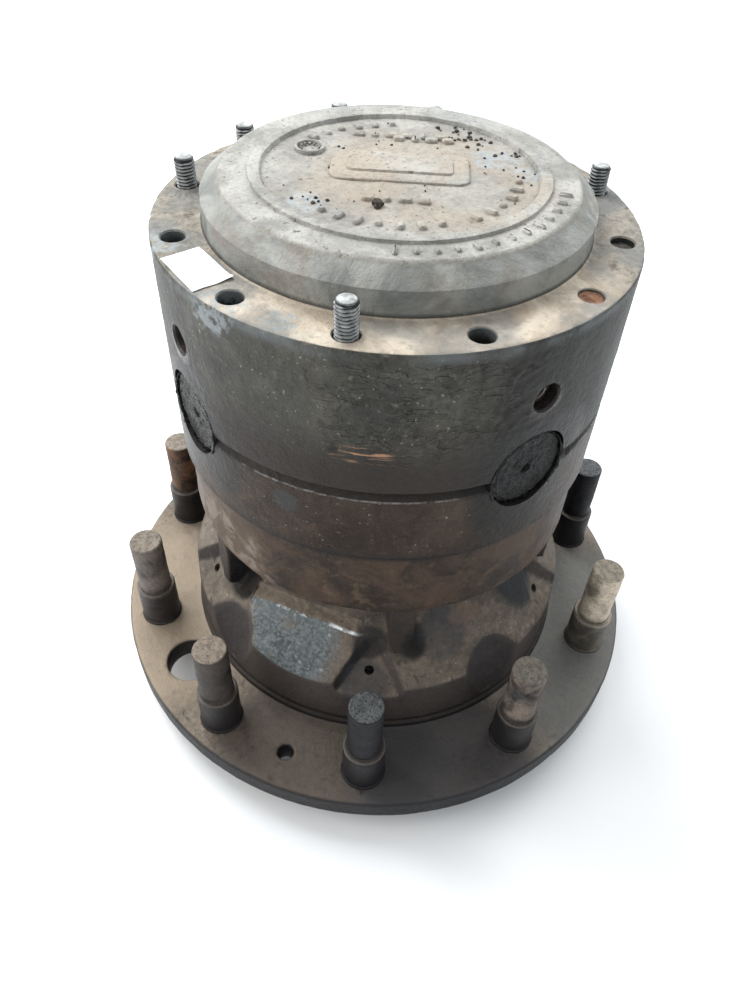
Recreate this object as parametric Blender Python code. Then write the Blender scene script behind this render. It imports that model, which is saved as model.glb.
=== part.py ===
"""Wheel hub with a bevel-planet reduction. Metres, +Z up, origin at the bottom centre.

The hub flange is at the bottom, the cover on top. The spider pins lie along X and Y at the split line.
"""

from math import acos, atan2, cos, pi, radians, sin, tan

import bmesh
import bpy
from mathutils import Matrix, Vector

MM = 0.001
FIT = 0.3 * MM  # free space between pieces that sit together
SEGMENTS = 48  # sides of the castings seen from outside
HUB_SEGMENTS = 40
INNER_SEGMENTS = 24  # sides of the rings inside
PIN_SEGMENTS = 16
HOLE_SEGMENTS = 8

# Levels along the hub axis
FOOT_CHAMFER = 1.0 * MM
FLANGE_LOW = 20.0 * MM
FLANGE_HIGH = 37.0 * MM
SPIGOT_STEP = 41.7 * MM  # the flange's raised ring, where the neck begins
NECK_LOW = 42.0 * MM
NECK_EDGE = 79.0 * MM  # upper edge of the neck's straight wall
BEARING_SHOULDER = 138.0 * MM
NECK_HIGH = 141.7 * MM
BAND_LOW = 142.0 * MM
BAND_CHAMFER = 148.5 * MM
BAND_CORNER = 151.5 * MM
GEAR_FLOOR = 181.4 * MM  # flat under the reaction gear
HUB_TOP = 203.0 * MM
SPLIT = 252.5 * MM  # split line, also the cones' common point
PLUG_LEVEL = 300.0 * MM
WASHER_SEAT = 323.6 * MM  # flat over the sun gear
RIM_TOP = 336.7 * MM
RIM_CHAMFER = 1.7 * MM
DOME_INSIDE = 346.0 * MM
DOME_SHOULDER = 350.7 * MM
DOME_TOP = 359.3 * MM
BEAD_TOP = 361.0 * MM

# Radii of the castings
FOOT_R = 105.0 * MM
FLANGE_R = 191.3 * MM
STEP_R = 137.5 * MM
SPIGOT_R = 135.5 * MM
SHOULDER_R = 100.0 * MM
NECK_R = 98.0 * MM
BAND_R = 126.0 * MM
BAND_FOOT_R = 113.6 * MM
BAND_CHAMFER_R = 122.0 * MM
CASE_R = 129.6 * MM
CAVITY_R = 101.0 * MM
HUB_CAVITY_R = 92.0 * MM
DOME_R = 102.5 * MM
PLATEAU_R = 91.5 * MM
BEAD_R = (71.0 * MM, 78.2 * MM)
SUN_POCKET_R = 52.0 * MM
SEAL_BORE_R = 88.0 * MM
INNER_CUP_BORE_R = 85.3 * MM
OUTER_CUP_BORE_R = 75.3 * MM
INNER_SHOULDER_R = 78.0 * MM
BEARING_BORE_R = 68.0 * MM

# Neck: a cone with five valleys, a rib beside each, and raised pads with a straight crest
CONE_SLOPE = 1.25  # rise over run
VALLEY_ANGLES = (-36.0, 32.0, 108.0, 180.0, -104.0)
VALLEY_FLOOR = 70.5 * MM  # at the spigot wall
VALLEY_SLOPE = 1.12
VALLEY_DEPTHS = (111.5 * MM, 150.0 * MM)
VALLEY_SIDES = ((1.0 * MM, 2.0 * MM), (-36.5 * MM, 34.0 * MM))  # of the floor
VALLEY_FLANKS = (-7.0 * MM, 9.0 * MM)  # how far each flank leans out over the rise
VALLEY_RISE = 14.0 * MM
RIB_ANGLES = (-27.2, 40.8, 116.8, 188.8, -91.0)
RIB_LEVELS = (152.0 * MM, 122.0 * MM, 93.0 * MM)
RIB_SHARES = (1.0, 0.9, 0.42)  # of its width, at those levels
RIB_DEPTHS = ((94.0 * MM, 10.0 * MM), (122.8 * MM, 7.8 * MM))  # depth and half width
RIB_LOW = 90.0 * MM
PAD_ANGLES = (-56.0, 88.0, 160.0, -124.0)
PAD_LOW = 60.0 * MM
PAD_HIGH = 133.0 * MM  # top of the room over a pad
PAD_ENDS = (-50.0 * MM, 31.0 * MM)
CREST_DISTANCE = 107.5 * MM
CREST_LEVEL = 107.0 * MM
CREST_RISE = 0.35  # rise of the pad's back towards the neck
CREST_BACK = 98.3 * MM
SCALLOP_ANGLES = (2.0, 92.0, 182.0, 278.0)
SCALLOP_LOW = (33.0 * MM, 46.0 * MM)  # radius and level of the cone that cuts a scallop
SCALLOP_HIGH = (47.0 * MM, 105.0 * MM)

# Wheel studs
STUD_CIRCLE_R = 167.5 * MM
STUD_COUNT = 10
STUD_TOP = 116.0 * MM
STUD_CHAMFER = 1.2 * MM
COLLAR_TOP = 70.0 * MM
STUD_R = 11.0 * MM
COLLAR_R = 13.5 * MM
HEAD_R = 17.0 * MM
HEAD_LOW = 10.5 * MM

# Casing studs: twelve holes, six of them filled
BOLT_CIRCLE_R = 118.0 * MM
BOLT_HOLE_R = 6.25 * MM
CASING_STUD_R = 5.55 * MM
CASING_STUD_LOW = 160.0 * MM
BOLT_GROUPS = (45.0, 135.0, 225.0, 315.0)
BOLT_OFFSETS = (-29.0, 0.0, 29.0)
# angle and top level in millimetres
CASING_STUDS = (
    (315.0, 354.7), (74.0, 352.5), (135.0, 351.0), (164.0, 352.0), (196.0, 350.7), (225.0, 352.8),
)

# Flange holes
ACCESS_HOLE_R = 17.0 * MM
ACCESS_CIRCLE_R = 159.0 * MM
ACCESS_ANGLE = 270.0
JACK_HOLE_R = 5.4 * MM
JACK_ANGLES = (126.0, 306.0)

# Spider
PIN_R = 23.0 * MM
PIN_END = 127.0 * MM
SPIDER_BORE_R = 30.0 * MM
SPIDER_R = 46.0 * MM
SPIDER_HALF = 24.0 * MM
SPIDER_CHAMFER = 1.0 * MM
SPIDER_BOSS_R = 30.0 * MM
SPIDER_BOSS_END = 51.5 * MM
PIN_ANGLES = (0.0, 90.0, 180.0, 270.0)

# Flat seats behind the planets, in the case ring and the cover
SEAT_R = 47.5 * MM
SEAT_LEVELS = (84.0 * MM, 98.3 * MM)
BOSS_R = 33.5 * MM
BOSS_END = 108.0 * MM

# Plugs in the cover wall
PLUG_R = 7.0 * MM
PLUG_LOW = 112.0 * MM
PLUG_END = 128.2 * MM
PLUG_SOCKET_R = 3.5 * MM
PLUG_SOCKET_END = 123.0 * MM

# Bevel gears: straight teeth, all cones meeting at the split line
SIDE_TEETH = 24
PLANET_TEETH = 16
CONE_DISTANCE = 98.0 * MM
FACE_WIDTH = 30.0 * MM
PRESSURE_ANGLE = radians(20.0)
BACKLASH = 0.40 * MM
DEDENDUM = 1.25
SIDE_BACK = 68.0 * MM  # back face of a side gear, from the split line
SIDE_FRONT = 45.0 * MM
SIDE_HEEL = (84.0 * MM, 64.5 * MM)
SIDE_LAND_R = 49.0 * MM
PLANET_BACK = 95.0 * MM
PLANET_FRONT = 52.0 * MM
PLANET_HEEL = (46.0 * MM, 89.0 * MM)
PLANET_BACK_R = 38.0 * MM
SUN_BORE_R = 23.0 * MM
SUN_SPLINE = 3.0 * MM
SUN_COLLAR = (46.0 * MM, 84.0 * MM)
REACTION_BORE_R = 40.0 * MM
REACTION_COLLAR = (54.0 * MM, 74.2 * MM)
BUSH_OUTER_R = 26.0 * MM
BUSH_INNER_R = 23.5 * MM
BUSH_ENDS = (52.5 * MM, 94.7 * MM)
PLANET_WASHER_R = 33.0 * MM
PLANET_WASHER_ENDS = (95.4 * MM, 97.9 * MM)
SIDE_WASHER_R = (77.0 * MM, 84.0 * MM)
SIDE_WASHER_THICK = 2.5 * MM

# Axle sleeve, bearings and seal
SLEEVE_LOW = 2.0 * MM
SLEEVE_TOP = 218.0 * MM
SLEEVE_BORE_R = 32.0 * MM
SLEEVE_R = 50.0 * MM
COLLAR_SEAT_R = 54.0 * MM
SLEEVE_MID_R = 48.0 * MM
OUTER_SEAT_R = 42.5 * MM
GEAR_SEAT_R = 39.7 * MM
GEAR_THREAD_R = 36.0 * MM
INNER_STOP = 67.3 * MM
OUTER_STOP = 139.7 * MM
OUTER_SEAT_TOP = 178.0 * MM
GEAR_STOP = 206.8 * MM
SEAL_LOW = 4.0 * MM
SEAL_HIGH = 18.0 * MM
ROLLERS = 16

for old in list(bpy.data.objects):
    bpy.data.objects.remove(old)


def material(name, colour, metallic, roughness):
    made = bpy.data.materials.new(name)
    made.use_nodes = True
    shader = made.node_tree.nodes["Principled BSDF"]
    shader.inputs["Base Color"].default_value = (*colour, 1.0)
    shader.inputs["Metallic"].default_value = metallic
    shader.inputs["Roughness"].default_value = roughness
    made.diffuse_color = (*colour, 1.0)
    return made


CAST_BROWN = ((0.115, 0.088, 0.066), 0.35, 0.72)
CAST_DARK = ((0.050, 0.047, 0.045), 0.45, 0.60)
CAST_DUSTY = ((0.240, 0.205, 0.165), 0.25, 0.80)
STEEL = ((0.32, 0.32, 0.33), 0.95, 0.32)
STEEL_DARK = ((0.055, 0.052, 0.050), 0.80, 0.48)
GROUND = ((0.50, 0.50, 0.51), 1.0, 0.20)
BRONZE = ((0.45, 0.27, 0.10), 0.95, 0.35)
RUBBER = ((0.020, 0.020, 0.021), 0.0, 0.70)


def finish(name, mesh, finish_of, turn=None):
    """Makes the object, its own material and its shading; turn sets the object's own place and axes."""
    if turn is not None:
        mesh.transform(turn.inverted())
    shaped = bmesh.new()
    shaped.from_mesh(mesh)
    for face in shaped.faces:
        face.smooth = True
    for edge in shaped.edges:
        edge.smooth = edge.calc_face_angle(0.0) < radians(32.0)
    shaped.to_mesh(mesh)
    shaped.free()
    mesh.name = name
    made = bpy.data.objects.new(name, mesh)
    mesh.materials.clear()
    mesh.materials.append(material(name + "_mat", *finish_of))
    if turn is not None:
        made.matrix_world = turn
    bpy.context.collection.objects.link(made)
    return made


def mesh_of(shape):
    bmesh.ops.recalc_face_normals(shape, faces=shape.faces)
    mesh = bpy.data.meshes.new("shape")
    shape.to_mesh(mesh)
    shape.free()
    return mesh


def lathe(profile, segments=SEGMENTS, frame=Matrix.Identity(4)):
    """A closed profile of (radius, height) turned about the local Z of frame."""
    shape = bmesh.new()
    rings = []
    for radius, height in profile:
        if radius < 1e-7:
            rings.append([shape.verts.new(frame @ Vector((0.0, 0.0, height)))])
            continue
        ring = []
        for step in range(segments):
            angle = 2.0 * pi * step / segments
            ring.append(shape.verts.new(frame @ Vector((radius * cos(angle), radius * sin(angle), height))))
        rings.append(ring)
    for lower, upper in zip(rings, rings[1:] + rings[:1]):
        if len(lower) == 1 and len(upper) == 1:
            continue
        for step in range(segments):
            after = (step + 1) % segments
            corners = []
            for corner in (lower[step % len(lower)], lower[after % len(lower)],
                           upper[after % len(upper)], upper[step % len(upper)]):
                if corner not in corners:
                    corners.append(corner)
            shape.faces.new(corners)
    return mesh_of(shape)


def millimetres(profile):
    return [(radius * MM, height * MM) for radius, height in profile]


def about_z(angle):
    return Matrix.Rotation(radians(angle), 4, "Z")


def outward(angle, level):
    """A frame at the split-line axis whose Z points out of the hub at this angle."""
    return Matrix.Translation((0.0, 0.0, level)) @ about_z(angle) @ Matrix.Rotation(radians(90.0), 4, "Y")


def rod(radius, low, high, segments=12, frame=Matrix.Identity(4)):
    return lathe([(0.0, low), (radius, low), (radius, high), (0.0, high)], segments, frame)


def post(radius, low, high, angle, distance, segments=HOLE_SEGMENTS):
    frame = about_z(angle) @ Matrix.Translation((distance, 0.0, 0.0))
    return rod(radius, low, high, segments, frame)


def prism(corners_low, corners_high):
    """A closed solid between two loops with the same number of corners."""
    shape = bmesh.new()
    low = [shape.verts.new(corner) for corner in corners_low]
    high = [shape.verts.new(corner) for corner in corners_high]
    shape.faces.new(low)
    shape.faces.new(high)
    for index in range(len(low)):
        after = (index + 1) % len(low)
        shape.faces.new((low[index], low[after], high[after], high[index]))
    return mesh_of(shape)


def combined(base, tools, operation):
    """The base mesh with each tool cut from it or joined to it; tools in one call don't touch each other."""
    gathered = bmesh.new()
    for tool in tools:
        gathered.from_mesh(tool)
    tool_mesh = bpy.data.meshes.new("tool")
    gathered.to_mesh(tool_mesh)
    gathered.free()
    base_object = bpy.data.objects.new("base", base)
    tool_object = bpy.data.objects.new("tool", tool_mesh)
    for item in (base_object, tool_object):
        bpy.context.collection.objects.link(item)
    step = base_object.modifiers.new("step", "BOOLEAN")
    step.operation = operation
    step.solver = "EXACT"
    step.object = tool_object
    graph = bpy.context.evaluated_depsgraph_get()
    result = bpy.data.meshes.new_from_object(base_object.evaluated_get(graph))
    for item in (base_object, tool_object):
        bpy.data.objects.remove(item)
    cleaned = bmesh.new()
    cleaned.from_mesh(result)
    bmesh.ops.remove_doubles(cleaned, verts=cleaned.verts, dist=2e-6)
    bmesh.ops.dissolve_degenerate(cleaned, edges=cleaned.edges, dist=2e-6)
    cleaned.to_mesh(result)
    cleaned.free()
    return result


def bolt_holes(low, high, radius):
    holes = []
    for centre in BOLT_GROUPS:
        for offset in BOLT_OFFSETS:
            holes.append(post(radius, low, high, centre + offset, BOLT_CIRCLE_R))
    return holes


def wheel_flange():
    body = lathe([
        (SEAL_BORE_R, 0.0), (FOOT_R - FOOT_CHAMFER, 0.0), (FOOT_R, FOOT_CHAMFER), (FOOT_R, FLANGE_LOW),
        (FLANGE_R - FOOT_CHAMFER, FLANGE_LOW), (FLANGE_R, FLANGE_LOW + FOOT_CHAMFER),
        (FLANGE_R, FLANGE_HIGH - FOOT_CHAMFER), (FLANGE_R - FOOT_CHAMFER, FLANGE_HIGH),
        (STEP_R, FLANGE_HIGH), (STEP_R, SPIGOT_STEP), (INNER_CUP_BORE_R, SPIGOT_STEP),
        (INNER_CUP_BORE_R, 24.0 * MM), (SEAL_BORE_R, 24.0 * MM),
    ], HUB_SEGMENTS)
    low, high = 10.0 * MM, 45.0 * MM
    cuts = [post(ACCESS_HOLE_R, low, high, ACCESS_ANGLE, ACCESS_CIRCLE_R, 24)]
    for index in range(STUD_COUNT):
        cuts.append(post(STUD_R + FIT, low, high, 360.0 / STUD_COUNT * index, STUD_CIRCLE_R, 12))
    for angle in JACK_ANGLES:
        cuts.append(post(JACK_HOLE_R, low, high, angle, STUD_CIRCLE_R))
    return combined(body, cuts, "DIFFERENCE")


def valley(angle):
    """A V-shaped cut with leaning flanks that widens outward; its floor falls outward."""
    turn = about_z(angle)
    loops = []
    for depth, (left, right) in zip(VALLEY_DEPTHS, VALLEY_SIDES):
        floor = VALLEY_FLOOR + VALLEY_SLOPE * (SPIGOT_R - depth)
        loops.append([
            turn @ Vector((depth, left, floor)),
            turn @ Vector((depth, right, floor)),
            turn @ Vector((depth, right + VALLEY_FLANKS[1], floor + VALLEY_RISE)),
            turn @ Vector((depth, left + VALLEY_FLANKS[0], floor + VALLEY_RISE)),
        ])
    return prism(*loops)


def pad_prism(angle, section, spare=0.0):
    turn = about_z(angle)
    ends = (PAD_ENDS[0] - spare, PAD_ENDS[1] + spare)
    return prism(*[[turn @ Vector((depth, end, level)) for depth, level in section] for end in ends])


def pad(angle):
    """A raised pad, still too tall: over_pad gives it its face and its crest."""
    extra = 2.0 * MM
    body = pad_prism(angle, [
        (CREST_BACK - extra, PAD_LOW), (SPIGOT_R, PAD_LOW), (SPIGOT_R, NECK_EDGE + extra),
        (CREST_DISTANCE, CREST_LEVEL + extra), (CREST_BACK - extra, CREST_LEVEL + 3.0 * extra),
    ])
    return combined(body, [rod(SPIGOT_R, PAD_LOW - MM, PAD_HIGH, HUB_SEGMENTS)], "INTERSECT")


def over_pad(angle):
    """The room over a pad: its lower sides are the pad's flat face and its back, which meet in the crest."""
    slope = (CREST_LEVEL - NECK_EDGE) / (SPIGOT_R - CREST_DISTANCE)
    front = SPIGOT_R + 4.0 * MM
    return pad_prism(angle, [
        (CREST_BACK, CREST_LEVEL + CREST_RISE * (CREST_DISTANCE - CREST_BACK)), (CREST_DISTANCE, CREST_LEVEL),
        (front, NECK_EDGE - slope * (front - SPIGOT_R)), (front, PAD_HIGH), (CREST_BACK, PAD_HIGH),
    ], FIT)


def neck_rib(angle):
    """A rib that hangs from the band and narrows downward."""
    turn = about_z(angle)
    loops = []
    for depth, half in RIB_DEPTHS:
        left = [turn @ Vector((depth, -half * share, level)) for level, share in zip(RIB_LEVELS, RIB_SHARES)]
        right = [turn @ Vector((depth, half * share, level)) for level, share in zip(RIB_LEVELS, RIB_SHARES)]
        loops.append(left + right[::-1])
    under_band = lathe([
        (0.0, RIB_LOW), (BAND_R, RIB_LOW), (BAND_R, BAND_CORNER - 2.0 * FIT),
        (BAND_CHAMFER_R, BAND_CHAMFER - 2.0 * FIT), (BAND_FOOT_R + FIT, NECK_HIGH), (0.0, NECK_HIGH),
    ])
    return combined(prism(*loops), [under_band], "INTERSECT")


def scallop(angle):
    """Room for a tool beside a stud or the access hole: a cone standing on the flange."""
    frame = about_z(angle) @ Matrix.Translation((STUD_CIRCLE_R, 0.0, 0.0))
    return lathe([(0.0, SCALLOP_LOW[1]), SCALLOP_LOW, SCALLOP_HIGH, (0.0, SCALLOP_HIGH[1])], 24, frame)


def hub_neck():
    cone_top = NECK_EDGE + CONE_SLOPE * (SPIGOT_R - SHOULDER_R)
    body = lathe([
        (INNER_CUP_BORE_R, NECK_LOW), (SPIGOT_R, NECK_LOW), (SPIGOT_R, NECK_EDGE), (SHOULDER_R, cone_top),
        (NECK_R, 130.0 * MM), (BAND_FOOT_R - FIT, NECK_HIGH), (OUTER_CUP_BORE_R, NECK_HIGH),
        (OUTER_CUP_BORE_R, BEARING_SHOULDER), (BEARING_BORE_R, BEARING_SHOULDER),
        (BEARING_BORE_R, 84.0 * MM), (INNER_SHOULDER_R, 74.0 * MM), (INNER_SHOULDER_R, 70.0 * MM),
        (INNER_CUP_BORE_R, 70.0 * MM),
    ], HUB_SEGMENTS)
    for angle in PAD_ANGLES:
        body = combined(body, [pad(angle)], "UNION")
        body = combined(body, [over_pad(angle)], "DIFFERENCE")
    body = combined(body, [valley(angle) for angle in VALLEY_ANGLES], "DIFFERENCE")
    body = combined(body, [neck_rib(angle) for angle in RIB_ANGLES], "UNION")
    return combined(body, [scallop(angle) for angle in SCALLOP_ANGLES], "DIFFERENCE")


def hub_band():
    body = lathe([
        (OUTER_CUP_BORE_R, BAND_LOW), (BAND_FOOT_R, BAND_LOW), (BAND_CHAMFER_R, BAND_CHAMFER),
        (BAND_R, BAND_CORNER), (BAND_R, HUB_TOP - FOOT_CHAMFER), (BAND_R - FOOT_CHAMFER, HUB_TOP),
        (HUB_CAVITY_R, HUB_TOP),
        (HUB_CAVITY_R, GEAR_FLOOR), (OUTER_CUP_BORE_R, GEAR_FLOOR),
    ])
    return combined(body, bolt_holes(158.0 * MM, 210.0 * MM, CASING_STUD_R + 0.55 * MM), "DIFFERENCE")


def pin_seats():
    """The tools for the flat seats behind the planet gears, their bosses and the pin bores."""
    seats = []
    bosses = []
    bores = []
    for angle in PIN_ANGLES:
        frame = outward(angle, SPLIT)
        bosses.append(rod(BOSS_R, SEAT_LEVELS[1], BOSS_END, 24, frame))
        seats.append(rod(SEAT_R, *SEAT_LEVELS, 24, frame))
        bores.append(rod(PIN_R + FIT, 80.0 * MM, 140.0 * MM, 24, frame))
    return seats, bosses, bores


def half_space(low, high):
    return rod(200.0 * MM, low, high, 8)


def with_pin_seats(body, keep_low, keep_high, holes):
    seats, bosses, bores = pin_seats()
    keep = half_space(keep_low, keep_high)
    halves = [combined(boss, [keep], "INTERSECT") for boss in bosses]
    body = combined(body, halves, "UNION")
    body = combined(body, seats, "DIFFERENCE")
    return combined(body, bores + holes, "DIFFERENCE")


def case_ring():
    body = lathe([
        (CAVITY_R, HUB_TOP + FIT), (CASE_R, HUB_TOP + FIT), (CASE_R, SPLIT - 5.0 * MM),
        (CASE_R - 3.0 * MM, SPLIT), (CAVITY_R, SPLIT),
    ])
    return with_pin_seats(body, HUB_TOP + FIT, SPLIT, bolt_holes(190.0 * MM, 260.0 * MM, BOLT_HOLE_R))


def outer_cover():
    body = lathe([
        (CAVITY_R, SPLIT + FIT), (CASE_R, SPLIT + FIT), (CASE_R, RIM_TOP - RIM_CHAMFER),
        (CASE_R - RIM_CHAMFER, RIM_TOP), (DOME_R, RIM_TOP), (DOME_R, DOME_SHOULDER), (PLATEAU_R, DOME_TOP),
        (BEAD_R[1], DOME_TOP), (BEAD_R[1], BEAD_TOP), (BEAD_R[0], BEAD_TOP), (BEAD_R[0], DOME_TOP),
        (0.0, DOME_TOP), (0.0, DOME_INSIDE), (SUN_POCKET_R, DOME_INSIDE), (SUN_POCKET_R, WASHER_SEAT),
        (88.0 * MM, WASHER_SEAT), (CAVITY_R, 312.0 * MM),
    ])
    holes = bolt_holes(240.0 * MM, 345.0 * MM, BOLT_HOLE_R)
    for angle in PIN_ANGLES:
        holes.append(rod(PLUG_R + FIT, 108.0 * MM, 135.0 * MM, 12, outward(angle, PLUG_LEVEL)))
    return with_pin_seats(body, SPLIT + FIT, 340.0 * MM, holes)


def spider():
    low = SPLIT - SPIDER_HALF
    high = SPLIT + SPIDER_HALF
    ring = lathe([
        (SPIDER_BORE_R, low), (SPIDER_R - SPIDER_CHAMFER, low), (SPIDER_R, low + SPIDER_CHAMFER),
        (SPIDER_R, high - SPIDER_CHAMFER), (SPIDER_R - SPIDER_CHAMFER, high), (SPIDER_BORE_R, high),
    ], INNER_SEGMENTS)
    arms = []
    for angle in PIN_ANGLES:
        arms.append(lathe([
            (0.0, 36.0 * MM), (22.0 * MM, 36.0 * MM), (22.0 * MM, 42.0 * MM), (SPIDER_BOSS_R, 43.0 * MM),
            (SPIDER_BOSS_R, SPIDER_BOSS_END), (PIN_R, SPIDER_BOSS_END),
            (PIN_R, PIN_END - 1.5 * MM), (PIN_R - 1.5 * MM, PIN_END),
            (4.0 * MM, PIN_END), (0.0, PIN_END - 3.5 * MM),
        ], PIN_SEGMENTS, outward(angle, SPLIT)))
    return combined(ring, arms, "UNION")


def involute(angle):
    return tan(angle) - angle


def tooth_points(teeth, mate):
    """One tooth gap to gap, as (turn, radius, depth along the axis) at the heel of a straight bevel gear."""
    cone = atan2(teeth, mate)
    module = 2.0 * CONE_DISTANCE * sin(cone) / teeth
    virtual_r = CONE_DISTANCE * tan(cone)
    base_r = virtual_r * cos(PRESSURE_ANGLE)
    half_pitch = pi / (2.0 * teeth / cos(cone))
    half_tooth = half_pitch - 0.5 * BACKLASH / virtual_r
    flank = []
    for height in (-DEDENDUM, -0.10, 1.0):
        at_r = virtual_r + height * module
        on_curve = max(at_r, base_r)
        half = half_tooth + involute(PRESSURE_ANGLE) - involute(acos(base_r / on_curve))
        radius = CONE_DISTANCE * sin(cone) + height * module * cos(cone)
        depth = CONE_DISTANCE * cos(cone) - height * module * sin(cone)
        flank.append((half / cos(cone), radius, depth))
    left = [(-turn, radius, depth) for turn, radius, depth in flank]
    return left + flank[::-1]


def bevel_gear(teeth, mate, front, back, shroud, back_r, bore, spline, collar, land, phase):
    """A bevel gear about local Z with its cone point at the origin and its back at +Z.

    front, back: levels of the flat faces; shroud: (radius, level) behind the heel;
    back_r: radius of the back; bore: radius; spline: extra radius of every second bore point;
    collar: (radius, level) behind the back; land: radius of the flat at the front.
    """
    profile = tooth_points(teeth, mate)
    toe = (CONE_DISTANCE - FACE_WIDTH) / CONE_DISTANCE
    shape = bmesh.new()
    fine_loops = []
    for scale in (toe, 1.0):
        loop = []
        for tooth in range(teeth):
            centre = 2.0 * pi * tooth / teeth + phase
            for turn, radius, depth in profile:
                angle = centre + turn
                loop.append(shape.verts.new((
                    radius * scale * cos(angle), radius * scale * sin(angle), depth * scale)))
        fine_loops.append(loop)
    coarse_loops = []
    rings = [(shroud[0], shroud[1], 0.0), (back_r, back, 0.0)]
    if collar is not None:
        rings += [(collar[0], back, 0.0), (collar[0], collar[1], 0.0)]
        back = collar[1]
    rings += [(bore, back, spline), (bore, front, spline)]
    if land is not None:
        rings.append((land, front, 0.0))
    for radius, level, extra in rings:
        loop = []
        for half in range(2 * teeth):
            angle = pi * half / teeth + phase
            reach = radius + (extra if half % 2 else 0.0)
            loop.append(shape.verts.new((reach * cos(angle), reach * sin(angle), level)))
        coarse_loops.append(loop)
    count = len(fine_loops[0])
    for index in range(count):
        after = (index + 1) % count
        inner, outer = fine_loops[:2]
        shape.faces.new((inner[index], inner[after], outer[after], outer[index]))
    for first, second in zip(coarse_loops, coarse_loops[1:]):
        for index in range(2 * teeth):
            after = (index + 1) % (2 * teeth)
            shape.faces.new((first[index], first[after], second[after], second[index]))
    per_tooth = len(profile)
    for fine, coarse in ((fine_loops[1], coarse_loops[0]), (fine_loops[0], coarse_loops[-1])):
        for tooth in range(teeth):
            crest = coarse[2 * tooth]
            gap = coarse[2 * tooth + 1]
            gap_before = coarse[(2 * tooth - 1) % (2 * teeth)]
            points = [fine[tooth * per_tooth + step] for step in range(per_tooth)]
            following = fine[((tooth + 1) * per_tooth) % count]
            for step in range(per_tooth - 1):
                shape.faces.new((points[step], points[step + 1], crest))
            shape.faces.new((points[0], crest, gap_before))
            shape.faces.new((points[-1], gap, crest))
            shape.faces.new((points[-1], following, gap))
    return mesh_of(shape)


def side_gear(bore, spline, collar):
    return bevel_gear(
        SIDE_TEETH, PLANET_TEETH, SIDE_FRONT, SIDE_BACK, SIDE_HEEL, SIDE_HEEL[0],
        bore, spline, collar, SIDE_LAND_R, 0.0)


def planet_gear():
    return bevel_gear(
        PLANET_TEETH, SIDE_TEETH, PLANET_FRONT, PLANET_BACK, PLANET_HEEL, PLANET_BACK_R,
        BUSH_OUTER_R + FIT, 0.0, None, None, pi / PLANET_TEETH)


def roller_set(low, high):
    """Rollers and their cage as one ring; low and high are (mean radius, roller radius, level)."""
    shape = bmesh.new()
    steps = ((-0.5, 0.20), (-0.30, 0.50), (-0.16, 0.92), (0.16, 0.92), (0.30, 0.50))
    loops = []
    for side, (mean, roller, level) in ((1, low), (1, high), (-1, high), (-1, low)):
        loop = []
        for index in range(ROLLERS):
            for share, swell in steps:
                angle = 2.0 * pi * (index + share) / ROLLERS
                reach = mean + side * roller * swell
                loop.append(shape.verts.new((reach * cos(angle), reach * sin(angle), level)))
        loops.append(loop)
    count = len(loops[0])
    for first, second in zip(loops, loops[1:] + loops[:1]):
        for index in range(count):
            after = (index + 1) % count
            shape.faces.new((first[index], first[after], second[after], second[index]))
    return mesh_of(shape)


def wheel_stud(angle):
    frame = about_z(angle) @ Matrix.Translation((STUD_CIRCLE_R, 0.0, 0.0))
    return lathe([
        (0.0, HEAD_LOW), (HEAD_R, HEAD_LOW), (HEAD_R, FLANGE_LOW - FIT), (STUD_R - FIT, FLANGE_LOW - FIT),
        (STUD_R - FIT, FLANGE_HIGH + FIT), (COLLAR_R, FLANGE_HIGH + FIT), (COLLAR_R, COLLAR_TOP),
        (STUD_R, COLLAR_TOP), (STUD_R, STUD_TOP - STUD_CHAMFER), (STUD_R - STUD_CHAMFER, STUD_TOP),
        (0.0, STUD_TOP),
    ], 10, frame)


def casing_stud(angle, top):
    frame = about_z(angle) @ Matrix.Translation((BOLT_CIRCLE_R, 0.0, 0.0))
    return lathe([
        (0.0, CASING_STUD_LOW), (CASING_STUD_R, CASING_STUD_LOW), (CASING_STUD_R, top - 2.2 * MM),
        (CASING_STUD_R - 2.0 * MM, top - 0.5 * MM), (0.0, top),
    ], 10, frame)


def oil_plug(angle):
    return lathe([
        (0.0, PLUG_LOW), (PLUG_R, PLUG_LOW), (PLUG_R, PLUG_END - STUD_CHAMFER),
        (PLUG_R - STUD_CHAMFER, PLUG_END),
        (PLUG_SOCKET_R, PLUG_END), (PLUG_SOCKET_R, PLUG_SOCKET_END), (0.0, PLUG_SOCKET_END),
    ], 12, outward(angle, PLUG_LEVEL))


# Castings
finish("wheel_flange", wheel_flange(), CAST_BROWN)
finish("hub_neck", hub_neck(), CAST_BROWN)
finish("hub_band", hub_band(), CAST_BROWN)
finish("case_ring", case_ring(), CAST_DARK)
finish("outer_cover", outer_cover(), CAST_DUSTY)
finish("spider", spider(), STEEL)


def ring(name, profile, finish_of):
    """A turned ring inside the hub, from a profile in millimetres."""
    finish(name, lathe(millimetres(profile), INNER_SEGMENTS), finish_of)


def thrust_washer(name, low):
    inner, outer = SIDE_WASHER_R
    high = low + SIDE_WASHER_THICK
    finish(name, lathe([(inner, low), (outer, low), (outer, high), (inner, high)], INNER_SEGMENTS), BRONZE)


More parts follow.
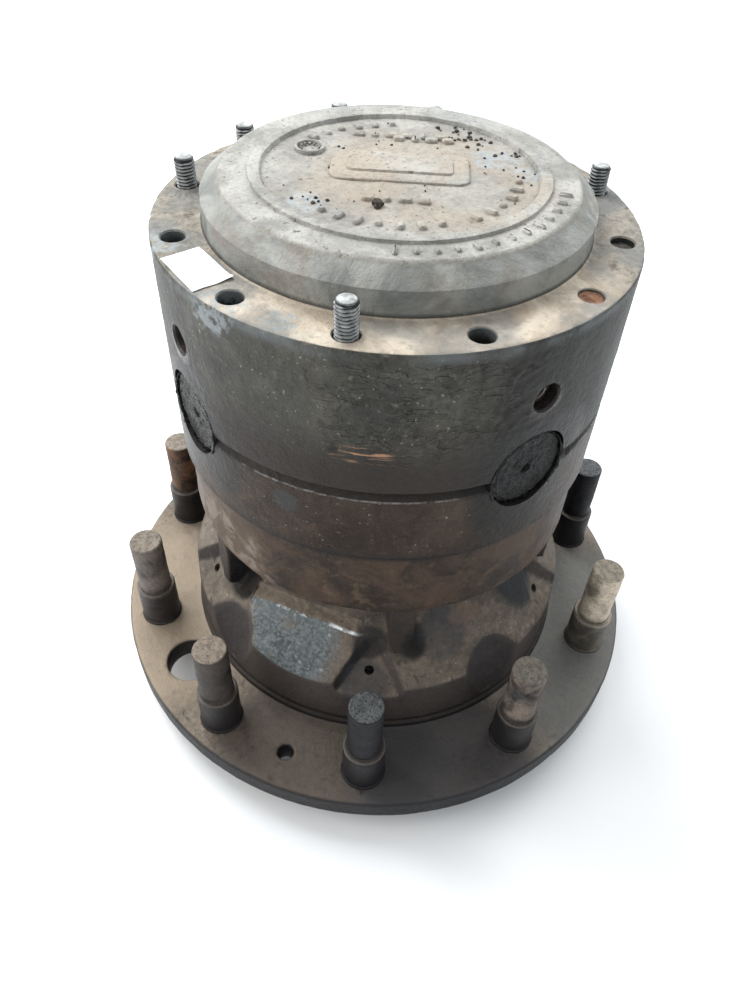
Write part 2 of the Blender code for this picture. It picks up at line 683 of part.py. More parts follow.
# Washers, cups and seal that stay with the castings
thrust_washer("sun_thrust_washer", WASHER_SEAT - FIT - SIDE_WASHER_THICK)
thrust_washer("reaction_thrust_washer", GEAR_FLOOR + FIT)
ring("outer_bearing_cup", [(62.6, 138.3), (75.0, 138.3), (75.0, 169.0), (68.8, 169.0)], GROUND)
ring("inner_bearing_cup", [(78.3, 40.0), (85.0, 40.0), (85.0, 69.7), (71.7, 69.7)], GROUND)
finish("hub_seal", lathe([
    (52.0 * MM, 9.0 * MM), (50.5 * MM, 10.0 * MM), (52.0 * MM, 11.0 * MM), (60.0 * MM, 13.0 * MM),
    (84.0 * MM, 13.0 * MM), (84.0 * MM, SEAL_LOW), (SEAL_BORE_R - FIT, SEAL_LOW),
    (SEAL_BORE_R - FIT, SEAL_HIGH), (62.0 * MM, SEAL_HIGH), (56.0 * MM, 16.0 * MM)], INNER_SEGMENTS), RUBBER)

# Bearing cones, the sleeve they sit on and its nuts
ring("outer_bearing_cone", [
    (42.8, 140.0), (51.0, 140.0), (51.0, 142.0), (48.8, 142.0), (53.9, 171.0), (59.0, 171.0),
    (59.0, 177.7), (42.8, 177.7)], GROUND)
ring("inner_bearing_cone", [
    (50.3, 30.0), (68.0, 30.0), (68.0, 36.5), (62.6, 36.5), (57.4, 64.5), (60.0, 64.5), (60.0, 67.0),
    (50.3, 67.0)], GROUND)
finish("axle_sleeve", lathe([
    (SLEEVE_BORE_R, SLEEVE_LOW), (SLEEVE_R - MM, SLEEVE_LOW), (SLEEVE_R, SLEEVE_LOW + MM),
    (SLEEVE_R, INNER_STOP), (COLLAR_SEAT_R, INNER_STOP), (COLLAR_SEAT_R, 76.0 * MM),
    (SLEEVE_MID_R, 82.0 * MM), (SLEEVE_MID_R, OUTER_STOP), (OUTER_SEAT_R, OUTER_STOP),
    (OUTER_SEAT_R, OUTER_SEAT_TOP), (GEAR_SEAT_R, OUTER_SEAT_TOP), (GEAR_SEAT_R, GEAR_STOP),
    (GEAR_THREAD_R, GEAR_STOP), (GEAR_THREAD_R, SLEEVE_TOP), (SLEEVE_BORE_R, SLEEVE_TOP),
], INNER_SEGMENTS), STEEL)
ring("sleeve_nut", [(50.3, 20.5), (62.0, 20.5), (62.0, 29.7), (50.3, 29.7)], STEEL_DARK)
ring("gear_nut", [(36.3, 207.8), (47.0, 207.8), (47.0, 216.0), (36.3, 216.0)], STEEL_DARK)

# Rollers turn about the hub axis inside their cups
finish("outer_bearing_rollers", roller_set(
    (55.9 * MM, 6.6 * MM, 143.0 * MM), (60.6 * MM, 7.4 * MM, 168.5 * MM)), GROUND)
finish("inner_bearing_rollers", roller_set(
    (69.6 * MM, 8.0 * MM, 41.0 * MM), (64.95 * MM, 7.2 * MM, 64.0 * MM)), GROUND)

# Bevel gears, each with its origin at the cones' common point and its back along its own Z
UPWARD = Matrix.Translation((0.0, 0.0, SPLIT))
DOWNWARD = UPWARD @ Matrix.Rotation(pi, 4, "X")
sun = side_gear(SUN_BORE_R, SUN_SPLINE, SUN_COLLAR)
sun.transform(UPWARD)
finish("drive_sun_gear", sun, STEEL, UPWARD)
reaction = side_gear(REACTION_BORE_R, 0.0, REACTION_COLLAR)
reaction.transform(DOWNWARD)
finish("reaction_gear", reaction, STEEL, UPWARD)


def pin_ring(name, inner, outer, ends, frame, origin=None):
    """A plain ring round a spider pin."""
    low, high = ends
    shape = lathe([(inner, low), (outer, low), (outer, high), (inner, high)], PIN_SEGMENTS, frame)
    finish(name, shape, BRONZE, origin)


for number, angle in enumerate(PIN_ANGLES, start=1):
    frame = outward(angle, SPLIT)
    gear = planet_gear()
    gear.transform(frame)
    finish("planet_gear_%d" % number, gear, STEEL, frame)
    pin_ring("planet_bush_%d" % number, BUSH_INNER_R, BUSH_OUTER_R, BUSH_ENDS, frame, frame)
    pin_ring("planet_thrust_washer_%d" % number, BUSH_INNER_R, PLANET_WASHER_R, PLANET_WASHER_ENDS, frame)

# Studs and plugs
for number in range(STUD_COUNT):
    finish("wheel_stud_%d" % (number + 1), wheel_stud(360.0 / STUD_COUNT * number), STEEL_DARK)
for number, (angle, top) in enumerate(CASING_STUDS, start=1):
    finish("casing_stud_%d" % number, casing_stud(angle, top * MM), STEEL_DARK)
for number, angle in enumerate(PIN_ANGLES, start=1):
    finish("oil_plug_%d" % number, oil_plug(angle), STEEL_DARK)
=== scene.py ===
import math
import random
from math import cos, pi, radians, sin

import bmesh
import bpy
from mathutils import Matrix, Vector, noise


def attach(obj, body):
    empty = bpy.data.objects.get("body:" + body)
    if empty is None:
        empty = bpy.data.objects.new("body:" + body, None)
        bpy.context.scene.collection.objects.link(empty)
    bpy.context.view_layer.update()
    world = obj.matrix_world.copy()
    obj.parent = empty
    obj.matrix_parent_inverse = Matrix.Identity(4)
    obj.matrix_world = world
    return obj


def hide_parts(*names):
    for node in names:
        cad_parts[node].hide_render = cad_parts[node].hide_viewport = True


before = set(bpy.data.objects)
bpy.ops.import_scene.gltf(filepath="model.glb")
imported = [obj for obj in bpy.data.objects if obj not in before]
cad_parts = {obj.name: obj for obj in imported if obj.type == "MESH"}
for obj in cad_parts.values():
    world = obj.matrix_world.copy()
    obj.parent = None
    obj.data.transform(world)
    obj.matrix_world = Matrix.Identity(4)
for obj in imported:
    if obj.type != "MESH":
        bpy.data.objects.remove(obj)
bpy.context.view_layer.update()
MM = 0.001
SPLIT = 252.5
PLUG_LEVEL = 300.0
WALL_RADIUS = 129.0
PRINT_ANGLE, PRINT_LEVEL = -58.0, 235.5
STUD_CIRCLE = 167.5
BOLT_CIRCLE = 118.0
PIN_ANGLES = (0.0, 90.0, 180.0, 270.0)
BOLT_ANGLES = [centre + offset for centre in (45.0, 135.0, 225.0, 315.0) for offset in (-29.0, 0.0, 29.0)]
VALLEY_ANGLES = (-36.0, 32.0, 108.0, 180.0, -104.0)
RIB_ANGLES = (-27.2, 40.8, 116.8, 188.8, -91.0)
random.seed(7)

# ---------------------------------------------------------------- camera, floor, light
# the camera's place and its lens were worked out from the photograph
scene = bpy.context.scene
camera_data = bpy.data.cameras.new("camera")
camera_data.lens = 28.45
camera_data.sensor_width = 36.0
camera = bpy.data.objects.new("camera", camera_data)
scene.collection.objects.link(camera)
round_part = Matrix.Rotation(radians(54.6), 3, "Z")
yaw, pitch, roll = -0.0018192, 0.7951823, 0.0546791
place = round_part @ Vector((-0.0030009, -0.4038865, 0.4985389))
place.z += 0.0308
ahead = round_part @ Vector((sin(yaw) * cos(pitch), cos(yaw) * cos(pitch), -sin(pitch)))
right = round_part @ Vector((cos(yaw), -sin(yaw), 0.0))
up = right.cross(ahead)
right_rolled = right * cos(roll) + up * sin(roll)
up_rolled = up * cos(roll) - right * sin(roll)
camera.matrix_world = Matrix((
    (right_rolled.x, up_rolled.x, -ahead.x, place.x),
    (right_rolled.y, up_rolled.y, -ahead.y, place.y),
    (right_rolled.z, up_rolled.z, -ahead.z, place.z),
    (0.0, 0.0, 0.0, 1.0)))
camera_data.clip_start = 0.01
scene.camera = camera

floor_mesh = bpy.data.meshes.new("floor")
floor_mesh.from_pydata([(-6, -6, 0), (6, -6, 0), (6, 6, 0), (-6, 6, 0)], [], [(0, 1, 2, 3)])
floor = bpy.data.objects.new("floor", floor_mesh)
scene.collection.objects.link(floor)
floor_material = bpy.data.materials.new("floor_pale")
floor_material.use_nodes = True
floor_shader = floor_material.node_tree.nodes["Principled BSDF"]
floor_shader.inputs["Base Color"].default_value = (0.86, 0.86, 0.86, 1.0)
floor_shader.inputs["Roughness"].default_value = 0.9
floor_mesh.materials.append(floor_material)

scene.view_settings.view_transform = "Standard"
world = bpy.data.worlds.new("studio")
scene.world = world
world.use_nodes = True
world.node_tree.nodes["Background"].inputs["Color"].default_value = (0.92, 0.96, 1.0, 1.0)
world.node_tree.nodes["Background"].inputs["Strength"].default_value = 0.90


def area_light(name, where, aim, size, power, colour):
    data = bpy.data.lights.new(name, "AREA")
    data.shape = "DISK"
    data.size = size
    data.energy = power
    data.color = colour
    lamp = bpy.data.objects.new(name, data)
    lamp.location = where
    lamp.rotation_euler = (Vector(aim) - Vector(where)).to_track_quat("-Z", "Y").to_euler()
    scene.collection.objects.link(lamp)


CENTRE = (0.0, 0.0, 0.2)
area_light("light_back_left", (-1.1, -0.2, 1.5), CENTRE, 1.3, 40.0, (0.95, 0.98, 1.0))
area_light("light_left", (-0.6, -1.6, 0.9), CENTRE, 1.0, 15.0, (1.0, 0.97, 0.92))
area_light("light_back", (-0.5, 1.4, 1.3), CENTRE, 1.4, 20.0, (0.97, 0.99, 1.0))


# ---------------------------------------------------------------- materials
class Nodes:
    """Small helper that builds a procedural material in the object's own coordinates."""

    def __init__(self, name):
        self.material = bpy.data.materials.new(name)
        self.material.use_nodes = True
        self.tree = self.material.node_tree
        self.shader = self.tree.nodes["Principled BSDF"]
        self.place = self.tree.nodes.new("ShaderNodeTexCoord").outputs["Object"]
        self.geometry = self.tree.nodes.new("ShaderNodeNewGeometry")
        self.colour = (0.5, 0.5, 0.5)
        self.rough = 0.5
        self.metal = 0.0
        self.height = 0.0

    def link(self, value, socket):
        if isinstance(value, bpy.types.NodeSocket):
            self.tree.links.new(value, socket)
        elif isinstance(value, (tuple, list)) and len(value) == 3 and socket.type == "RGBA":
            socket.default_value = (*value, 1.0)
        else:
            socket.default_value = value

    def maths(self, operation, first, second=0.0, clamp=False):
        node = self.tree.nodes.new("ShaderNodeMath")
        node.operation = operation
        node.use_clamp = clamp
        self.link(first, node.inputs[0])
        self.link(second, node.inputs[1])
        return node.outputs[0]

    def plus(self, first, second, clamp=False):
        return self.maths("ADD", first, second, clamp)

    def scaled(self, stretch):
        node = self.tree.nodes.new("ShaderNodeMapping")
        self.link(self.place, node.inputs["Vector"])
        node.inputs["Scale"].default_value = stretch
        return node.outputs[0]

    def noise(self, scale, detail=4.0, rough=0.55, stretch=None, warp=0.0):
        node = self.tree.nodes.new("ShaderNodeTexNoise")
        self.link(self.scaled(stretch) if stretch else self.place, node.inputs["Vector"])
        node.inputs["Scale"].default_value = scale
        node.inputs["Detail"].default_value = detail
        node.inputs["Roughness"].default_value = rough
        node.inputs["Distortion"].default_value = warp
        return node.outputs[0]

    def patches(self, low, high, *grain, **more):
        """A noise turned into a mask that grows from 0 at low to 1 at high."""
        return self.ramp(self.noise(*grain, **more), low, high)

    def ramp(self, value, low, high):
        """0 at low, 1 at high, smooth between; low may be above high."""
        node = self.tree.nodes.new("ShaderNodeMapRange")
        node.interpolation_type = "SMOOTHSTEP"
        self.link(value, node.inputs["Value"])
        flip = low > high
        node.inputs["From Min"].default_value = min(low, high)
        node.inputs["From Max"].default_value = max(low, high)
        node.inputs["To Min"].default_value = 1.0 if flip else 0.0
        node.inputs["To Max"].default_value = 0.0 if flip else 1.0
        return node.outputs["Result"]

    def mix(self, share, first, second):
        node = self.tree.nodes.new("ShaderNodeMix")
        node.data_type = "RGBA"
        self.link(share, node.inputs[0])
        self.link(first, node.inputs[6])
        self.link(second, node.inputs[7])
        return node.outputs[2]

    def lerp(self, share, first, second):
        """A number that goes from first to second as share goes from 0 to 1."""
        return self.plus(self.both(self.maths("SUBTRACT", 1.0, share), first), self.both(share, second))

    def between(self, value, foot, low, high, top):
        """1 from low to high, 0 below foot and above top."""
        return self.both(self.ramp(value, foot, low), self.ramp(value, top, high))

    def level(self):
        node = self.tree.nodes.new("ShaderNodeSeparateXYZ")
        self.link(self.place, node.inputs[0])
        return node.outputs["Z"]

    def facing_up(self):
        node = self.tree.nodes.new("ShaderNodeSeparateXYZ")
        self.link(self.geometry.outputs["Normal"], node.inputs[0])
        return node.outputs["Z"]

    def side(self, direction):
        """The normal's share along a fixed direction of the object."""
        node = self.tree.nodes.new("ShaderNodeVectorMath")
        node.operation = "DOT_PRODUCT"
        self.link(self.geometry.outputs["Normal"], node.inputs[0])
        node.inputs[1].default_value = direction
        return node.outputs["Value"]

    def near(self, where, reach, stretch=(1.0, 1.0, 1.0), ragged=0.35, grain=60.0):
        """1 close to a place, 0 beyond reach, with a ragged border."""
        offset = self.tree.nodes.new("ShaderNodeVectorMath")
        offset.operation = "SUBTRACT"
        self.link(self.place, offset.inputs[0])
        offset.inputs[1].default_value = [value * MM for value in where]
        scale = self.tree.nodes.new("ShaderNodeVectorMath")
        scale.operation = "MULTIPLY"
        self.link(offset.outputs[0], scale.inputs[0])
        scale.inputs[1].default_value = stretch
        length = self.tree.nodes.new("ShaderNodeVectorMath")
        length.operation = "LENGTH"
        self.link(scale.outputs[0], length.inputs[0])
        share = self.maths("DIVIDE", length.outputs["Value"], reach * MM)
        border = self.both(self.maths("SUBTRACT", self.noise(grain, 5.0), 0.5), ragged * 2.0)
        return self.ramp(self.plus(share, border), 1.1, 0.75)

    def edges(self, low, high):
        return self.ramp(self.geometry.outputs["Pointiness"], low, high)

    def both(self, *masks):
        result = masks[0]
        for mask in masks[1:]:
            result = self.maths("MULTIPLY", result, mask)
        return result

    def over(self, base, tint, *masks):
        """The base with the tint laid over it where all the masks are 1."""
        return self.mix(self.both(*masks), base, tint)

    def paint(self, tint, *masks):
        self.colour = self.over(self.colour, tint, *masks)

    def stain(self, tint, share, *region, **border):
        """A patch of paint; the region and its border are those of near()."""
        self.paint(tint, self.near(*region, **border), share)

    def set_rough(self, value, *masks):
        self.rough = self.lerp(self.both(*masks), self.rough, value)

    def set_metal(self, value, *masks):
        self.metal = self.lerp(self.both(*masks), self.metal, value)

    def done(self, strength, distance, gloss=0.35):
        """Wires up the material; strength and distance (mm) are those of the bump."""
        self.link(self.colour, self.shader.inputs["Base Color"])
        self.link(self.rough, self.shader.inputs["Roughness"])
        self.link(self.metal, self.shader.inputs["Metallic"])
        self.shader.inputs["Specular IOR Level"].default_value = gloss
        bump = self.tree.nodes.new("ShaderNodeBump")
        bump.inputs["Strength"].default_value = strength
        bump.inputs["Distance"].default_value = distance * MM
        self.link(self.height, bump.inputs["Height"])
        self.link(bump.outputs[0], self.shader.inputs["Normal"])
        return self.material


def tone(colour, factor):
    return tuple(value * factor for value in colour)


def cast_iron(name, deep, mid, dust, dust_share, edge, grease=0.0, wall_dust=0.0, mottle=1.0, gloss=0.3,
              extra=None):
    """Old cast iron: blotched base, dust on what faces up, bared edges, greasy dark patches, painted shade
    in the hollows.
    """
    n = Nodes(name)
    broad = n.noise(9.0, 5.0, 0.6, warp=0.6)
    blot = n.noise(38.0, 6.0, 0.65, warp=0.3)
    fine = n.noise(260.0, 5.0, 0.6)
    grain = n.noise(800.0, 4.0, 0.65)
    n.colour = n.mix(n.ramp(broad, 0.36, 0.64), deep, mid)
    n.paint(tone(mid, 1.75), n.ramp(blot, 0.48, 0.70), 0.55)
    n.paint(tone(deep, 0.45), n.ramp(blot, 0.46, 0.30), 0.60)
    streaks = n.noise(75.0, 4.0, 0.6, stretch=(1.0, 1.0, 0.12), warp=0.3)
    n.paint(tone(deep, 0.5), n.ramp(streaks, 0.52, 0.68), 0.40)
    n.paint(tone(mid, 2.2), n.ramp(fine, 0.54, 0.72), 0.50)
    rusty = n.both(n.patches(0.60, 0.74, 23.0, 6.0, 0.7, warp=1.2), 0.5)
    n.paint((0.125, 0.066, 0.034), rusty)
    n.paint(tone(deep, 0.35), n.ramp(grain, 0.50, 0.34), 0.55)
    up_mask = n.ramp(n.facing_up(), 0.35, 0.92)
    patchy = n.ramp(n.plus(n.both(broad, 0.5), n.both(fine, 0.5)), 0.30, 0.60)
    layer = n.both(up_mask, dust_share, n.plus(0.45, n.both(patchy, 0.55)))
    side_layer = n.both(n.patches(0.44, 0.66, 14.0, 6.0, 0.62, stretch=(1.0, 1.0, 0.5)), wall_dust)
    layer = n.maths("MAXIMUM", layer, side_layer)
    dusty = n.mix(n.ramp(fine, 0.35, 0.66), tone(dust, 1.0 - 0.30 * mottle),
                  tone(dust, 1.0 + 0.15 * mottle))
    dusty = n.over(dusty, tone(dust, 0.45), n.ramp(grain, 0.46, 0.34), 0.5 * mottle)
    n.paint(dusty, layer)
    bare = n.both(n.edges(0.54, 0.62), n.ramp(blot, 0.40, 0.56), 0.75)
    n.paint(edge, bare)
    # painted shade darkens the hollows and creases
    crevice_shade = n.both(n.edges(0.485, 0.43), 0.8)
    n.paint(tone(deep, 0.35), crevice_shade)
    smears = n.noise(120.0, 6.0, 0.75, stretch=(1.0, 1.0, 0.45), warp=0.5)
    n.paint((0.007, 0.006, 0.006), n.ramp(smears, 0.45, 0.33), 0.65)
    n.paint(tone(mid, 2.6), n.ramp(smears, 0.58, 0.70), 0.30)
    crumbs = n.both(n.patches(0.685, 0.715, 430.0, 2.0, 0.5), n.ramp(blot, 0.44, 0.56))
    n.paint((0.30, 0.28, 0.25), crumbs, 0.7)
    n.rough = n.plus(n.both(grain, 0.34), 0.40 - 0.20 * grease)
    n.rough = n.plus(n.rough, n.both(layer, 0.30), clamp=True)
    n.metal = n.both(n.maths("SUBTRACT", 1.0, layer), 0.15)
    n.metal = n.maths("MAXIMUM", n.metal, n.both(bare, 0.8))
    n.height = n.plus(n.both(fine, 0.60), n.both(grain, 0.42))
    n.height = n.plus(n.height, n.both(blot, 1.2))
    if extra is not None:
        extra(n)
    return n.done(0.9, 1.2, gloss)


def steel(name, base, dust, dust_share, rough_base=0.38, metal_share=0.75, side_share=0.45, dusty_from=0.30):
    n = Nodes(name)
    blot = n.noise(55.0, 5.0, 0.65, warp=0.4)
    fine = n.noise(240.0, 5.0, 0.6)
    n.colour = n.mix(n.ramp(blot, 0.38, 0.66), tone(base, 0.6), tone(base, 1.35))
    n.paint((0.12, 0.07, 0.042), n.patches(0.58, 0.72, 70.0, 6.0, 0.7), 0.55)
    up_mask = n.ramp(n.facing_up(), dusty_from, 0.9)
    layer = n.both(up_mask, dust_share, n.plus(0.5, n.both(n.ramp(fine, 0.3, 0.6), 0.5)))
    side_layer = n.both(n.patches(0.47, 0.64, 42.0, 5.0, 0.6), dust_share * side_share)
    layer = n.maths("MAXIMUM", layer, side_layer)
    n.paint(n.mix(n.ramp(fine, 0.35, 0.65), tone(dust, 0.8), dust), layer)
    n.rough = n.plus(n.both(fine, 0.30), rough_base - 0.1)
    n.rough = n.plus(n.rough, n.both(layer, 0.3), clamp=True)
    n.metal = n.both(n.maths("SUBTRACT", 1.0, layer), metal_share)
    n.height = n.plus(n.both(fine, 0.5), n.both(blot, 0.7))
    return n.done(0.4, 0.5)


def two_tone(name, first, second, blots, border, fine, rough, bump):
    """Two colours mixed by one noise; a finer one gives the roughness (share, base) and the bump."""
    n = Nodes(name)
    grain = n.noise(*fine)
    n.colour = n.mix(n.ramp(n.noise(*blots), *border), first, second)
    n.rough = n.plus(n.both(grain, rough[0]), rough[1])
    n.height = grain
    return n.done(*bump)


# ---------------------------------------------------------------- mesh helpers
def finished(shape, turn_outward=True):
    if turn_outward:
        bmesh.ops.recalc_face_normals(shape, faces=shape.faces)
    mesh = bpy.data.meshes.new("piece")
    shape.to_mesh(mesh)
    shape.free()
    return mesh


def new_object(name, mesh, material, body="hub", smooth_angle=35.0):
    obj = bpy.data.objects.new(name, mesh)
    scene.collection.objects.link(obj)
    mesh.materials.clear()
    mesh.materials.append(material)
    shaped = bmesh.new()
    shaped.from_mesh(mesh)
    for face in shaped.faces:
        face.smooth = True
    for edge in shaped.edges:
        edge.smooth = edge.calc_face_angle(0.0) < radians(smooth_angle)
    shaped.to_mesh(mesh)
    shaped.free()
    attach(obj, body)
    return obj


def stand_in(name, mesh, material, node, body="hub", smooth_angle=35.0):
    """A piece that stands in for a node of the frame, which is hidden."""
    obj = new_object(name, mesh, material, body, smooth_angle)
    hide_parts(node)


def finer(profile, step):
    """The profile with its long sides divided; each point may carry its own step as a third number."""
    points = []
    for index, point in enumerate(profile):
        after = profile[(index + 1) % len(profile)]
        own = point[2] if len(point) > 2 else step
        length = math.hypot(after[0] - point[0], after[1] - point[1])
        parts = max(1, int(math.ceil(length / own)))
        for part in range(parts):
            share = part / parts
            points.append((point[0] + (after[0] - point[0]) * share,
                           point[1] + (after[1] - point[1]) * share))
    return points


def lathe(profile, segments, frame_of=Matrix.Identity(4), step=None, wave=None):
    """A closed profile in millimetres turned about Z; wave(angle, radius, height) may change the radius."""
    shape = bmesh.new()
    rings = []
    for radius, height in (finer(profile, step) if step else [point[:2] for point in profile]):
        if radius < 1e-4:
            rings.append([shape.verts.new(frame_of @ Vector((0.0, 0.0, height * MM)))])
            continue
        ring = []
        for index in range(segments):
            angle = 2.0 * pi * index / segments
            reach = wave(angle, radius, height) if wave else radius
            corner = Vector((reach * cos(angle), reach * sin(angle), height)) * MM
            ring.append(shape.verts.new(frame_of @ corner))
        rings.append(ring)
    for lower, upper in zip(rings, rings[1:] + rings[:1]):
        if len(lower) == 1 and len(upper) == 1:
            continue
        for index in range(segments):
            after = (index + 1) % segments
            corners = []
            for corner in (lower[index % len(lower)], lower[after % len(lower)],
                           upper[after % len(upper)], upper[index % len(upper)]):
                if corner not in corners:
                    corners.append(corner)
            shape.faces.new(corners)
    return finished(shape)


def about_z(angle):
    return Matrix.Rotation(radians(angle), 4, "Z")


def at(angle, distance, level=0.0):
    return about_z(angle) @ Matrix.Translation((distance * MM, 0.0, level * MM))


def spot(angle, distance, level):
    """The same place as at() gives, as millimetres."""
    return at(angle, distance, level).to_translation() / MM


def outward(angle, level):
    lifted = Matrix.Translation((0.0, 0.0, level * MM))
    return lifted @ about_z(angle) @ Matrix.Rotation(radians(90.0), 4, "Y")


def rod(radius, low, high, segments=48, frame_of=Matrix.Identity(4)):
    return lathe([(0.0, low), (radius, low), (radius, high), (0.0, high)], segments, frame_of)


def drill(radius, mouth, levels, segments, frame_of):
    """A cutter that widens to its mouth; levels: start, where it widens, where it is wide, end."""
    start, foot, wide, end = levels
    return lathe([(0.0, start), (radius, start), (radius, foot), (mouth, wide), (mouth, end), (0.0, end)],
                 segments, frame_of)


def prism(low, high):
    shape = bmesh.new()
    first = [shape.verts.new(Vector(corner) * MM) for corner in low]
    second = [shape.verts.new(Vector(corner) * MM) for corner in high]
    shape.faces.new(first)
    shape.faces.new(second)
    for index in range(len(first)):
        after = (index + 1) % len(first)
        shape.faces.new((first[index], first[after], second[after], second[index]))
    return finished(shape)


def moved(mesh, matrix):
    mesh.transform(matrix)
    return mesh


def joined(meshes):
    gathered = bmesh.new()
    for mesh in meshes:
        gathered.from_mesh(mesh)
    return finished(gathered, False)


def evaluated(mesh, setup):
    """The mesh after the modifiers that setup adds."""
    obj = bpy.data.objects.new("work", mesh)
    scene.collection.objects.link(obj)
    setup(obj)
    graph = bpy.context.evaluated_depsgraph_get()
    result = bpy.data.meshes.new_from_object(obj.evaluated_get(graph))
    bpy.data.objects.remove(obj)
    return result


def combined(base, tools, operation):
    tool_object = bpy.data.objects.new("tools", joined(tools))
    scene.collection.objects.link(tool_object)

    def setup(obj):
        step = obj.modifiers.new("step", "BOOLEAN")
        step.operation = operation
        step.solver = "EXACT"
        step.object = tool_object

    result = evaluated(base, setup)
    bpy.data.objects.remove(tool_object)
    return result


def pushed(mesh, amount):
    """Moves each vertex along its normal by amount(place in mm, normal), in mm."""
    shaped = bmesh.new()
    shaped.from_mesh(mesh)
    shaped.normal_update()
    shifts = []
    for vert in shaped.verts:
        shifts.append(vert.normal * (amount(vert.co / MM, vert.normal) * MM))
    for vert, shift in zip(shaped.verts, shifts):
        vert.co += shift
    shaped.to_mesh(mesh)
    shaped.free()
    return mesh


def fractal(place, size, octaves=4):
    return noise.fractal(place / size, 1.0, 2.0, octaves)


def polar(place):
    return math.degrees(math.atan2(place.y, place.x)), math.hypot(place.x, place.y)


def apart(first, second):
    return abs((first - second + 180.0) % 360.0 - 180.0)


def fade(value, low, high):
    share = min(1.0, max(0.0, (value - low) / (high - low)))
    return share * share * (3.0 - 2.0 * share)


# ---------------------------------------------------------------- cover
def cover_extra(n):
    level = n.level()
    # the wall is darker and browner to the bottom, and painted shade darkens its right side
    wall = n.ramp(level, 0.3362, 0.3355)
    low = n.ramp(level, 0.305, 0.262)
    n.paint((0.016, 0.010, 0.007), low, 0.88)
    # painted shade on the right side of the wall
    n.paint((0.011, 0.011, 0.009), wall, n.near((120, 60, 290), 100.0, ragged=0.2, grain=14.0), 0.90)
    # the dome: pale dusty plateau, grey chamfer
    plateau = n.ramp(level, 0.3575, 0.3592)
    pale = n.mix(n.patches(0.36, 0.62, 30.0, 6.0, 0.65, warp=0.6),
                 (0.225, 0.220, 0.203), (0.395, 0.385, 0.352))
    pale = n.over(pale, (0.250, 0.262, 0.258), n.patches(0.52, 0.66, 12.0, 4.0, 0.6), 0.55)
    tan = n.near((14, 6, 359), 66.0, ragged=0.35, grain=16.0)
    tan = n.both(tan, n.patches(0.34, 0.56, 17.0, 5.0, 0.6, warp=0.5))
    pale = n.over(pale, (0.350, 0.288, 0.222), tan, 0.75)
    pale = n.over(pale, (0.140, 0.120, 0.100), n.patches(0.50, 0.64, 420.0, 4.0, 0.6), 0.35)
    speck = n.patches(0.66, 0.73, 330.0, 2.0, 0.5)
    pale = n.over(pale, (0.07, 0.055, 0.043), speck, 0.8)
    n.paint(pale, plateau, 0.92)
    skirt = n.between(level, 0.3375, 0.3400, 0.3570, 0.3590)
    grey = n.mix(n.patches(0.38, 0.64, 26.0, 6.0, 0.65, warp=0.8),
                 (0.165, 0.174, 0.164), (0.335, 0.338, 0.312))
    grey = n.over(grey, (0.200, 0.150, 0.112), n.patches(0.54, 0.66, 19.0, 5.0, 0.65, warp=0.5), 0.5)
    n.paint(grey, skirt, 0.85)
    # warm dust on the rim, thickest in front
    rim_top = n.between(level, 0.3362, 0.3366, 0.3370, 0.3376)
    sand = n.mix(n.patches(0.36, 0.64, 34.0, 6.0, 0.65, warp=0.8),
                 (0.380, 0.308, 0.232), (0.600, 0.520, 0.415))
    sand = n.over(sand, (0.170, 0.135, 0.100), n.patches(0.50, 0.66, 300.0, 4.0, 0.6), 0.30)
    sandy = n.both(rim_top, n.near((110, -60, 337), 120.0, ragged=0.25, grain=18.0))
    n.paint(sand, sandy, 0.92)
    # bared metal beside the label and on the dome
    for where, reach in (((34, -121, 336), 15.0), ((-30, -120, 336), 12.0), ((8, -60, 359), 10.0),
                         ((12, 52, 359), 14.0), ((36, 56, 359), 8.0), ((60, -104, 337), 9.0)):
        mask = n.both(n.near(where, reach, ragged=0.6, grain=90.0), n.patches(0.40, 0.56, 220.0, 4.0, 0.6))
        n.paint((0.28, 0.32, 0.34), mask, 0.60)
        n.set_rough(0.38, mask, 0.6)
    # a rusty scrape on the wall: a few thin slanting streaks
    scrape = n.near((98, -84, 278), 12.5, (0.62, 0.85, 2.0), ragged=0.30, grain=60.0)
    lines = n.patches(0.50, 0.60, 150.0, 4.0, 0.6, stretch=(0.22, 0.22, 2.6), warp=0.4)
    n.paint((0.36, 0.20, 0.115), scrape, lines, 0.9)
    n.stain((0.010, 0.008, 0.007), 0.9, (89, -94, 279.5), 3.0, (1.0, 1.0, 1.8), ragged=0.4, grain=160.0)
    # scaly wrinkles in the casting skin
    wrinkle = n.noise(105.0, 3.0, 0.5, stretch=(1.0, 1.0, 3.0), warp=0.5)
    scale_tops = n.both(n.ramp(wrinkle, 0.50, 0.57), n.patches(0.36, 0.56, 55.0, 3.0, 0.5))
    skin = n.near((112, -64, 308), 54.0, (1.0, 1.0, 1.5), ragged=0.35, grain=26.0)
    skin = n.both(skin, n.ramp(level, 0.3340, 0.3270))
    n.height = n.plus(n.height, n.both(scale_tops, skin, 1.3))
    # painted highlights on the tops of the scales
    scale_highlight = n.both(scale_tops, n.ramp(wrinkle, 0.66, 0.55), skin)
    n.paint((0.120, 0.112, 0.094), scale_highlight, 0.26)
    # a band of bare bluish metal under the rim
    rim = n.both(n.ramp(level, 0.3290, 0.3350), n.patches(0.40, 0.60, 30.0, 5.0))
    rim = n.both(rim, n.ramp(level, 0.3372, 0.3366))
    n.paint((0.125, 0.138, 0.140), rim, 0.65)
    # greasy crust round the pins
    for angle in PIN_ANGLES:
        mask = n.near(spot(angle, WALL_RADIUS, 254.0), 39.0, ragged=0.55, grain=45.0)
        n.paint((0.007, 0.006, 0.006), mask, 0.90)
        n.set_rough(0.30, mask, 0.5)
        socket = n.near(spot(angle, WALL_RADIUS, 298.0), 11.0, ragged=0.25, grain=90.0)
        n.paint((0.020, 0.014, 0.012), socket, 0.75)
        n.set_rough(0.16, socket, 0.8)


